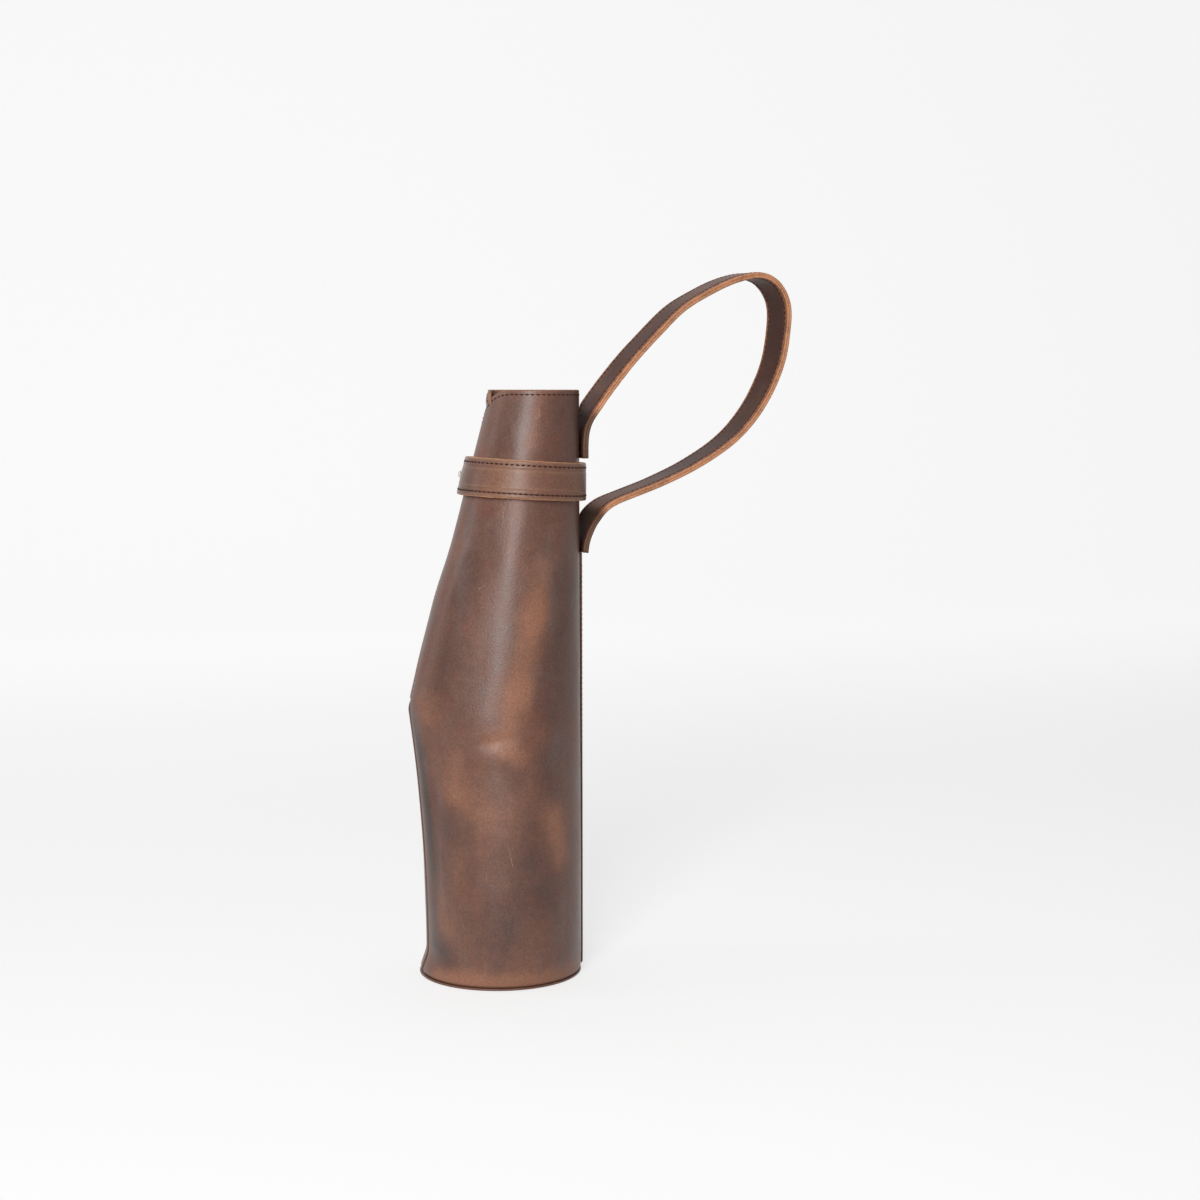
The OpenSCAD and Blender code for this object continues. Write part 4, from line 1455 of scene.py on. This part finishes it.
class Nodes:
    """Adds nodes to a tree, with inputs given as values, or as nodes or sockets to link."""

    def __init__(self, tree):
        self.tree = tree

    def add(self, kind, inputs=None, **settings):
        """A new node, with its settings made before its inputs."""
        node = self.tree.nodes.new(kind)
        for key, value in settings.items():
            setattr(node, key, value)
        for key, value in (inputs or {}).items():
            self.feed(node.inputs[key], value)
        return node

    def feed(self, socket, value):
        """Give an input its value or its link."""
        if isinstance(value, bpy.types.NodeSocket):
            self.tree.links.new(value, socket)
        elif isinstance(value, bpy.types.Node):
            self.tree.links.new(value.outputs[0], socket)
        else:
            socket.default_value = value

    def link(self, source, target):
        """The same as feed, the other way round."""
        self.feed(target, source)

    def math(self, operation, a, b=None, clamp=False):
        given = {0: a} if b is None else {0: a, 1: b}
        return self.add("ShaderNodeMath", given, operation=operation, use_clamp=clamp).outputs[0]

    def vector(self, operation, a, b=None, output=0):
        given = {0: a} if b is None else {0: a, 1: b}
        return self.add("ShaderNodeVectorMath", given, operation=operation).outputs[output]

    def total(self, *values):
        """The sum of two or more values."""
        result = values[0]
        for value in values[1:]:
            result = self.math("ADD", result, value)
        return result

    def weighted(self, *terms):
        """The sum of values, each times its weight."""
        return self.total(*(self.math("MULTIPLY", value, weight) for value, weight in terms))

    def centred(self, value, gain):
        """A value from 0 to 1, made to swing by gain about 0."""
        return self.math("MULTIPLY", self.math("SUBTRACT", value, 0.5), gain)

    def noise(self, vector, scale, detail=3.0, rough=0.55, distortion=0.0):
        given = {"Vector": vector, "Scale": scale, "Detail": detail}
        given.update({"Roughness": rough, "Distortion": distortion})
        return self.add("ShaderNodeTexNoise", given).outputs["Fac"]

    def spread(self, value, low, high, to_low=0.0, to_high=1.0):
        """A value's range from low to high, smoothly stretched over another."""
        given = {0: value, 1: low, 2: high, 3: to_low, 4: to_high}
        return self.add("ShaderNodeMapRange", given, interpolation_type="SMOOTHSTEP").outputs[0]

    def blend(self, share, a, b, mode="MIX"):
        """Colour b over colour a, by a share."""
        node = self.add("ShaderNodeMix", data_type="RGBA", blend_type=mode)
        for index, value in ((0, share), (6, a), (7, b)):
            self.feed(node.inputs[index], value)
        return node.outputs[2]

    def bump(self, shader, height, distance, strength):
        """Give a shader its normal from a height."""
        given = {"Height": height, "Distance": distance, "Strength": strength}
        self.link(self.add("ShaderNodeBump", given), shader.inputs["Normal"])


def paint(rgb):
    """A colour as a node's socket takes it."""
    return (*rgb, 1.0)


def scaled(rgb, share):
    """A lighter or darker colour."""
    return tuple(min(1.0, c * share) for c in rgb)


def group(name, inputs, outputs):
    """A new shader node group with named sockets, as (tree, nodes, its inputs, its outputs)."""
    tree = bpy.data.node_groups.new(name, "ShaderNodeTree")
    kinds = {"C": "NodeSocketColor", "F": "NodeSocketFloat", "V": "NodeSocketVector"}
    for label, kind, default in inputs:
        socket = tree.interface.new_socket(label, in_out="INPUT", socket_type=kinds[kind])
        if default is not None:
            socket.default_value = default
    for label, kind in outputs:
        tree.interface.new_socket(label, in_out="OUTPUT", socket_type=kinds[kind])
    n = Nodes(tree)
    return tree, n, n.add("NodeGroupInput").outputs, n.add("NodeGroupOutput").inputs


def grain_group():
    """Fine leather grain: pores, small wrinkles and a soft unevenness, as a height."""
    tree, n, get, give = group(
        "Leather Grain",
        [("Vector", "V", None), ("Size", "F", 1.0)],
        [("Height", "F"), ("Speckle", "F")],
    )
    place = n.vector("SCALE", get["Vector"])
    n.feed(place.node.inputs["Scale"], n.math("DIVIDE", 1.0, get["Size"]))
    pores = {"Vector": place, "Scale": 950.0, "Smoothness": 0.6}
    pores = n.add("ShaderNodeTexVoronoi", pores, feature="SMOOTH_F1").outputs["Distance"]
    cracks = {"Vector": place, "Scale": 300.0}
    cracks = n.add("ShaderNodeTexVoronoi", cracks, feature="DISTANCE_TO_EDGE").outputs["Distance"]
    wrinkles, fine = n.spread(cracks, 0.0, 0.12), n.noise(place, 2200.0, 2.0)
    soft = n.noise(place, 160.0, 3.0)
    height = n.weighted((pores, 0.45), (wrinkles, 0.07), (fine, 0.25), (soft, 0.55))
    n.link(height, give["Height"])
    n.link(n.noise(place, 1000.0, 4.0, 0.75), give["Speckle"])
    return tree


def hide_group(grain):
    """Waxed pull-up leather: mottled colour, gloss and grain, with the painted highlights and
    painted shade that its inputs give.
    """
    tree, n, get, give = group(
        "Pull-up Hide",
        [
            ("Vector", "V", None),
            *((label, "C", None) for label in ("Base", "Dark", "Bright")),
            *((label, "F", 0.0) for label in ("Tone", "Wear_and_highlight", "Shade_and_grime")),
            *((label, "F", 1.0) for label in ("Mottle", "Grain")),
        ],
        [("Color", "C"), ("Roughness", "F"), ("Height", "F")],
    )
    place, base = get["Vector"], get["Base"]
    stretched = n.vector("MULTIPLY", place, (1.0, 1.0, 0.4))
    broad = n.noise(place, 26.0, 4.0, 0.6, 0.4)
    streaks = n.noise(stretched, 75.0, 4.0, 0.6)
    cloud = n.noise(place, 190.0, 3.0, 0.6)
    skin = n.add("ShaderNodeGroup", node_tree=grain)
    n.feed(skin.inputs["Vector"], place)
    n.feed(skin.inputs["Size"], get["Grain"])
    mottle = n.total(n.centred(broad, 1.1), n.centred(streaks, 0.9), n.centred(cloud, 0.55))
    tone = n.total(get["Tone"], n.math("MULTIPLY", mottle, get["Mottle"]))
    # Grey bloom of the wax and redder leather lie in clouds under the lighter and darker places
    bloom = n.noise(n.vector("ADD", stretched, (0.3, 0.1, 0.7)), 48.0, 4.0, 0.65)
    rust = n.noise(n.vector("ADD", place, (0.8, 0.5, 0.2)), 62.0, 4.0, 0.65)
    grey = {"Saturation": 0.45, "Value": 1.12, "Color": base}
    grey = n.add("ShaderNodeHueSaturation", grey)
    red = {"Hue": 0.493, "Saturation": 1.2, "Value": 1.1, "Color": base}
    red = n.add("ShaderNodeHueSaturation", red)
    shade = n.blend(n.math("MULTIPLY", n.spread(rust, 0.48, 0.70), 0.5), base, red)
    shade = n.blend(n.math("MULTIPLY", n.spread(bloom, 0.48, 0.72), 0.5), shade, grey)
    shade = n.blend(n.spread(tone, -0.25, 1.25), shade, get["Bright"])
    shade = n.blend(n.spread(n.math("MULTIPLY", tone, -1.0), -0.1, 1.2), shade, get["Dark"])
    speck = n.spread(skin.outputs["Speckle"], 0.3, 0.7, 0.80, 1.22)
    speck = n.add("ShaderNodeCombineXYZ", {0: speck, 1: speck, 2: speck})
    shade = n.blend(1.0, shade, speck, "MULTIPLY")
    patchy = n.spread(n.noise(place, 420.0, 3.0), 0.3, 0.7, 0.35, 1.0)
    # Rubbed bright where worn, and on straps the painted highlight beside a crease
    worn = n.math("MULTIPLY", n.math("MULTIPLY", get["Wear_and_highlight"], patchy), 0.85)
    shade = n.blend(worn, shade, get["Bright"])
    # Darkened towards near black: painted shade in folds, grooves and by the handle's ends, and
    # grime
    shade_and_grime_share = n.math("MULTIPLY", get["Shade_and_grime"], 0.85, clamp=True)
    n.link(n.blend(shade_and_grime_share, shade, paint(SHADE_AND_GRIME)), give["Color"])
    rough = n.total(
        n.spread(tone, -0.9, 1.1, 0.34, 0.46),
        n.centred(cloud, 0.16),
        n.centred(skin.outputs["Speckle"], 0.16),
        n.math("MULTIPLY", get["Shade_and_grime"], 0.3),
    )
    n.link(rough, give["Roughness"])
    n.link(skin.outputs["Height"], give["Height"])
    return tree


def scratch_group():
    """One fine straight scratch between two points, as a mask."""
    tree, n, get, give = group(
        "Scratch",
        [("Vector", "V", None), ("Start", "V", None), ("End", "V", None), ("Width", "F", 0.0002)],
        [("Mask", "F")],
    )
    run = n.vector("SUBTRACT", get["End"], get["Start"])
    to = n.vector("SUBTRACT", get["Vector"], get["Start"])
    dot = n.vector("DOT_PRODUCT", to, run, output=1)
    size = n.vector("DOT_PRODUCT", run, run, output=1)
    foot = n.vector("SCALE", run)
    n.feed(foot.node.inputs["Scale"], n.math("DIVIDE", dot, size, clamp=True))
    gap = n.math("DIVIDE", n.vector("DISTANCE", to, foot, output=1), get["Width"])
    n.link(n.spread(gap, 0.4, 1.6, 1.0, 0.0), give["Mask"])
    return tree


def new_material(name, preview):
    """A node material, as (material, nodes, its shader)."""
    material = bpy.data.materials.new(name)
    material.use_nodes = True
    material.node_tree.nodes.clear()
    material.diffuse_color = paint(preview)
    n = Nodes(material.node_tree)
    shader = n.add("ShaderNodeBsdfPrincipled")
    n.link(shader, n.add("ShaderNodeOutputMaterial").inputs["Surface"])
    return material, n, shader


def attribute(n, name):
    """A mesh attribute's value."""
    return n.add("ShaderNodeAttribute", attribute_name=name).outputs["Fac"]


def place_of(n):
    """The place on the object, in metres."""
    return n.add("ShaderNodeTexCoord").outputs["Object"]


def set_plain(shader, values):
    """Give a shader's own sockets the values that are the same all over the surface."""
    for key, value in values.items():
        shader.inputs[key].default_value = value


def leather(name, hide, tints, mottle=1.0, gloss=0.37, scratches=(), scratch=None):
    """Waxed leather in its base, dark and bright tints; a scratch is (start, end, width)."""
    material, n, shader = new_material(name, tints[0])
    place = place_of(n)
    given = {"Vector": place, "Mottle": mottle}
    given.update(zip(("Base", "Dark", "Bright"), map(paint, tints)))
    given.update((label, attribute(n, label.lower())) for label in ("Tone", "Wear_and_highlight", "Shade_and_grime"))
    look = n.add("ShaderNodeGroup", given, node_tree=hide)
    shade = look.outputs["Color"]
    marks = None
    for start, end, width in scratches:
        mark = {"Vector": place, "Start": start, "End": end, "Width": width}
        mark = n.add("ShaderNodeGroup", mark, node_tree=scratch).outputs["Mask"]
        marks = mark if marks is None else n.math("MAXIMUM", marks, mark)
    if marks is not None:
        broken = n.math("MULTIPLY", marks, n.spread(n.noise(place, 900.0), 0.35, 0.6))
        shade = n.blend(n.math("MULTIPLY", broken, 0.55), shade, paint(SCRATCH_PALE))
    n.link(shade, shader.inputs["Base Color"])
    n.link(look.outputs["Roughness"], shader.inputs["Roughness"])
    n.bump(shader, look.outputs["Height"], GRAIN_DEPTH, 0.75)
    coat = {"Coat Weight": COAT_SHARE * gloss, "Coat Roughness": COAT_ROUGHNESS}
    set_plain(shader, {"Specular IOR Level": gloss, **coat})
    return material


def fibrous(name, tints, rough, depth, stretch=1.0, sheen=0.0):
    """Raw leather in its base, light and dark tints: the flesh side, or a cut edge."""
    base, light, dark = tints
    material, n, shader = new_material(name, base)
    place = n.vector("MULTIPLY", place_of(n), (1.0, 1.0, stretch))
    broad = n.noise(place, 60.0, 4.0, 0.65)
    nap = n.noise(place, 1050.0, 4.0, 0.7, 0.4)
    fine = n.noise(place, 3200.0, 3.0, 0.7)
    share = n.spread(n.weighted((broad, 0.6), (nap, 0.6)), 0.42, 0.72)
    shade = n.blend(share, paint(dark), paint(base))
    shade = n.blend(n.spread(n.math("MULTIPLY", nap, fine), 0.2, 0.42), shade, paint(light))
    # Darkened by painted shade and grime, as on the handle's edges near the sleeve
    shade_and_grime_share = n.math("MULTIPLY", attribute(n, "shade_and_grime"), 0.95)
    shade = n.blend(shade_and_grime_share, shade, paint(scaled(dark, 0.12)))
    n.link(shade, shader.inputs["Base Color"])
    set_plain(shader, {"Roughness": rough})
    if sheen:
        set_plain(shader, {"Sheen Weight": sheen, "Sheen Roughness": 0.6})
    n.bump(shader, n.weighted((nap, 0.8), (fine, 0.4)), depth, 0.8)
    return material


class CARRIER_OT_materials(bpy.types.Operator):
    """Make the leathers, thread and metal"""

    bl_idname = "carrier.materials"
    bl_label = "Materials"

    def execute(self, context):
        settings = context.scene.bottle_carrier
        finish = settings.finish
        skin, hide = Skin(settings.body), hide_group(grain_group())
        marks = []
        for f0, z0, f1, z1, width in SCRATCHES:
            ends = (skin.at(math.radians(f), z * MM) for f, z in ((f0, z0), (f1, z1)))
            marks.append((*(tuple(map(float, end)) for end in ends), width * MM))
        scratched = {"scratches": marks, "scratch": scratch_group()}
        body, dark, bright = tuple(finish.hide), tuple(finish.hide_dark), tuple(finish.hide_bright)
        strap, handle = tuple(finish.strap), tuple(finish.handle)
        matt = {"gloss": 0.07}
        for key, tints, more in (
            ("body", (body, dark, bright), scratched),
            ("base", (scaled(body, 0.85), dark, bright), {"mottle": 0.6}),
            ("strap", (strap, scaled(strap, 0.45), STRAP_BRIGHT), {"mottle": 0.7}),
            ("lining", (scaled(strap, 0.9), scaled(strap, 0.4), LINING_BRIGHT), {"mottle": 0.6}),
            ("handle", (handle, scaled(handle, 0.5), HANDLE_BRIGHT), {"mottle": 0.6, **matt}),
        ):
            MATERIALS[key] = leather(f"{key}_leather", hide, tints, **more)
        for key, name, tint, shares, rough, depth, more in (
            ("flesh", "flesh_side", finish.flesh, (1.0, 1.5, 0.5), 0.85, 0.2, {"sheen": 0.2}),
            ("edge", "cut_edge", finish.edge, (1.25, 1.6, 0.55), 0.65, 0.2, {"stretch": 1.6}),
            ("rim_edge", "rim_edge", finish.edge, (0.5, 0.95, 0.22), 0.65, 0.2, {}),
            ("dark_edge", "dark_edge", finish.edge, (0.3, 0.6, 0.15), 0.6, 0.1, {}),
        ):
            tints = [scaled(tint, share) for share in shares]
            MATERIALS[key] = fibrous(name, tints, rough, depth * MM, **more)
        self.thread(tuple(finish.thread))
        self.hole()
        self.metal(tuple(finish.metal))
        return {"FINISHED"}

    def thread(self, tint):
        """Waxed thread, with its twist."""
        material, n, shader = new_material("waxed_thread", tint)
        place = place_of(n)
        twist = {"Vector": place, "Scale": 900.0, "Distortion": 3.0}
        twist.update({"Detail": 2.0, "Detail Scale": 2.0})
        twist = n.add("ShaderNodeTexWave", twist, bands_direction="DIAGONAL").outputs["Fac"]
        worn = n.spread(n.noise(place, 300.0), 0.3, 0.7)
        shade = n.blend(worn, paint(tint), paint(scaled(tint, 1.9)))
        shade = n.blend(n.math("MULTIPLY", twist, 0.4), shade, paint(scaled(tint, 0.45)))
        n.link(shade, shader.inputs["Base Color"])
        set_plain(shader, {"Roughness": 0.75, "Specular IOR Level": 0.15})
        n.bump(shader, twist, 0.08 * MM, 0.7)
        MATERIALS["thread"] = material

    def hole(self):
        """Painted shade of a stitch hole."""
        material, n, shader = new_material("stitch_hole_shade", (0.010, 0.006, 0.005))
        shade_mask = n.spread(n.noise(place_of(n), 1500.0), 0.3, 0.7)
        shade = n.blend(shade_mask, paint(HOLE_SHADE_DARK), paint(HOLE_SHADE_PALE))
        n.link(shade, shader.inputs["Base Color"])
        set_plain(shader, {"Roughness": 0.9})
        MATERIALS["hole"] = material

    def metal(self, tint):
        """Plated metal, a little dulled by handling."""
        material, n, shader = new_material("nickel", tint)
        place = place_of(n)
        dull = n.spread(n.noise(place, 500.0, 4.0), 0.4, 0.75)
        n.link(n.blend(dull, paint(tint), paint(scaled(tint, 0.72))), shader.inputs["Base Color"])
        rough = n.spread(n.noise(place, 1400.0, 3.0), 0.3, 0.7, 0.16, 0.34)
        n.link(rough, shader.inputs["Roughness"])
        set_plain(shader, {"Metallic": 1.0})
        n.bump(shader, n.noise(place, 900.0), 0.02 * MM, 0.5)
        MATERIALS["nickel"] = material


# --- Stage -------------------------------------------------------------------------------------

# The photograph's view: the camera's place, its turn about Z and its tilt down, and its lens (mm)
CAMERA_PLACE = (-0.2346, -1.0790, 0.3057)
CAMERA_TURN, CAMERA_TILT = math.radians(15), math.radians(5.66)
LENS, SENSOR = 63.9, 36.0
# Soft lamps: place, size and power (W), all turned towards the middle of the carrier
LAMPS = {
    "key": ((-0.62, -1.42, 0.80), (0.5, 1.1), 22),
    "left": ((-1.40, 0.35, 0.70), (0.3, 0.9), 2.2),
    "top": ((0.10, 0.35, 1.80), (1.2, 1.2), 8),
}
LAMP_TARGET = (0, 0, 0.2)
# The floor's front end, its half width, where it starts to turn up, the turn and the top
FLOOR_FRONT, FLOOR_HALF, FLOOR_BACK, BACK_TURN, BACK_TOP = -3.0, 4.0, 1.6, 0.8, 4.0
# How bright the floor and the backdrop look to the camera, and what the sky gives and shows
FLOOR_GLOW, BACK_GLOW, GLOW_FROM = 0.67, 0.83, 0.3
SKY_LIGHT, SKY_SEEN = 0.10, 0.5


def seen(n):
    """1 for what the camera sees, also in metal or through glass, and 0 for other light."""
    path = n.add("ShaderNodeLightPath").outputs
    direct = n.math("MAXIMUM", path["Is Camera Ray"], path["Is Glossy Ray"])
    return n.math("MAXIMUM", direct, path["Is Transmission Ray"])


class CARRIER_OT_stage(bpy.types.Operator):
    """Set the floor and backdrop, the soft lamps and the camera"""

    bl_idname = "carrier.stage"
    bl_label = "Stage"

    def execute(self, context):
        self.camera(context)
        self.ground(context.scene.bottle_carrier.finish)
        self.world(context)
        self.lamps()
        return {"FINISHED"}

    def camera(self, context):
        """The photograph's view."""
        data = bpy.data.cameras.new("Camera")
        data.lens, data.sensor_width = LENS, SENSOR
        data.clip_start, data.clip_end = 0.05, 50
        camera = bpy.data.objects.new("Camera", data)
        context.scene.collection.objects.link(camera)
        camera.location = CAMERA_PLACE
        ahead = Vector((math.sin(CAMERA_TURN), math.cos(CAMERA_TURN), 0)) * math.cos(CAMERA_TILT)
        ahead.z = -math.sin(CAMERA_TILT)
        camera.rotation_euler = ahead.to_track_quat("-Z", "Y").to_euler()
        context.scene.camera = camera
        context.scene.view_settings.view_transform = "Standard"

    def ground(self, finish):
        """One sheet: a floor that turns up into a backdrop behind the object."""
        turns = np.radians(np.arange(9, 91, 9))
        profile = [(FLOOR_FRONT, 0.0), (FLOOR_BACK, 0.0)]
        profile += [
            (FLOOR_BACK + BACK_TURN * math.sin(turn), BACK_TURN * (1 - math.cos(turn)))
            for turn in turns
        ]
        profile += [(FLOOR_BACK + BACK_TURN, BACK_TOP)]
        points = [(x, y, z) for y, z in profile for x in (-FLOOR_HALF, FLOOR_HALF)]
        faces = [[2 * k, 2 * k + 1, 2 * k + 3, 2 * k + 2] for k in range(len(profile) - 1)]
        material, n, shader = new_material("ground", finish.ground)
        set_plain(shader, {"Base Color": paint(finish.ground), "Emission Color": (1, 1, 1, 1)})
        set_plain(shader, {"Roughness": 0.9, "Specular IOR Level": 0.1})
        back = n.add("ShaderNodeSeparateXYZ", {0: place_of(n)}).outputs[1]
        glow = n.spread(back, GLOW_FROM, FLOOR_BACK, FLOOR_GLOW, BACK_GLOW)
        n.link(n.math("MULTIPLY", seen(n), glow), shader.inputs["Emission Strength"])
        ground = mesh_object("ground", points, faces, [0] * len(faces), [material])

    def world(self, context):
        """A faint sky that looks pale wherever it is seen."""
        world = bpy.data.worlds.new("studio")
        context.scene.world = world
        world.use_nodes = True
        world.node_tree.nodes.clear()
        n = Nodes(world.node_tree)
        strength = n.spread(seen(n), 0.0, 1.0, SKY_LIGHT, SKY_SEEN)
        sky = n.add("ShaderNodeBackground", {"Color": (1, 1, 1, 1), "Strength": strength})
        n.link(sky, n.add("ShaderNodeOutputWorld").inputs[0])

    def lamps(self):
        """Three soft lamps."""
        for name, (place, size, power) in LAMPS.items():
            data = bpy.data.lights.new(name, "AREA")
            data.shape, data.energy = "RECTANGLE", power
            data.size, data.size_y = size
            lamp = bpy.data.objects.new(name, data)
            lamp.location = place
            way = Vector(LAMP_TARGET) - Vector(place)
            lamp.rotation_euler = way.to_track_quat("-Z", "Y").to_euler()
            bpy.context.scene.collection.objects.link(lamp)


# --- Panel and registration --------------------------------------------------------------------


class CARRIER_PT_sidebar(bpy.types.Panel):
    """Lists the carrier's pieces and sizes"""

    bl_label = "Leather Bottle Carrier"
    bl_idname = "CARRIER_PT_sidebar"
    bl_space_type = "VIEW_3D"
    bl_region_type = "UI"
    bl_category = "Carrier"

    def draw(self, context):
        settings = context.scene.bottle_carrier
        for operator in OPERATORS:
            self.layout.operator(operator.bl_idname)
        for part in ("body", "straps", "handle", "stitching", "stud", "finish"):
            box = self.layout.box()
            box.label(text=part.title())
            for name in getattr(settings, part).bl_rna.properties.keys():
                if name not in ("rna_type", "name"):
                    box.prop(getattr(settings, part), name)


OPERATORS = (
    CARRIER_OT_stage,
    CARRIER_OT_materials,
    CARRIER_OT_panel,
    CARRIER_OT_base,
    CARRIER_OT_spine_strip,
    CARRIER_OT_neck_strap,
    CARRIER_OT_tab,
    CARRIER_OT_handle,
    CARRIER_OT_stud,
    CARRIER_OT_stitching,
)
CLASSES = (
    CarrierBody,
    CarrierStraps,
    CarrierHandle,
    CarrierStitching,
    CarrierStud,
    CarrierFinish,
    CarrierSettings,
    *OPERATORS,
    CARRIER_PT_sidebar,
)


def register():
    for cls in CLASSES:
        bpy.utils.register_class(cls)
    bpy.types.Scene.bottle_carrier = PointerProperty(type=CarrierSettings)


def unregister():
    del bpy.types.Scene.bottle_carrier
    for cls in reversed(CLASSES):
        bpy.utils.unregister_class(cls)


def main():
    register()
    for operator in OPERATORS:
        getattr(bpy.ops.carrier, operator.bl_idname.split(".")[1])()
    bpy.context.view_layer.update()


if __name__ == "__main__":
    main()
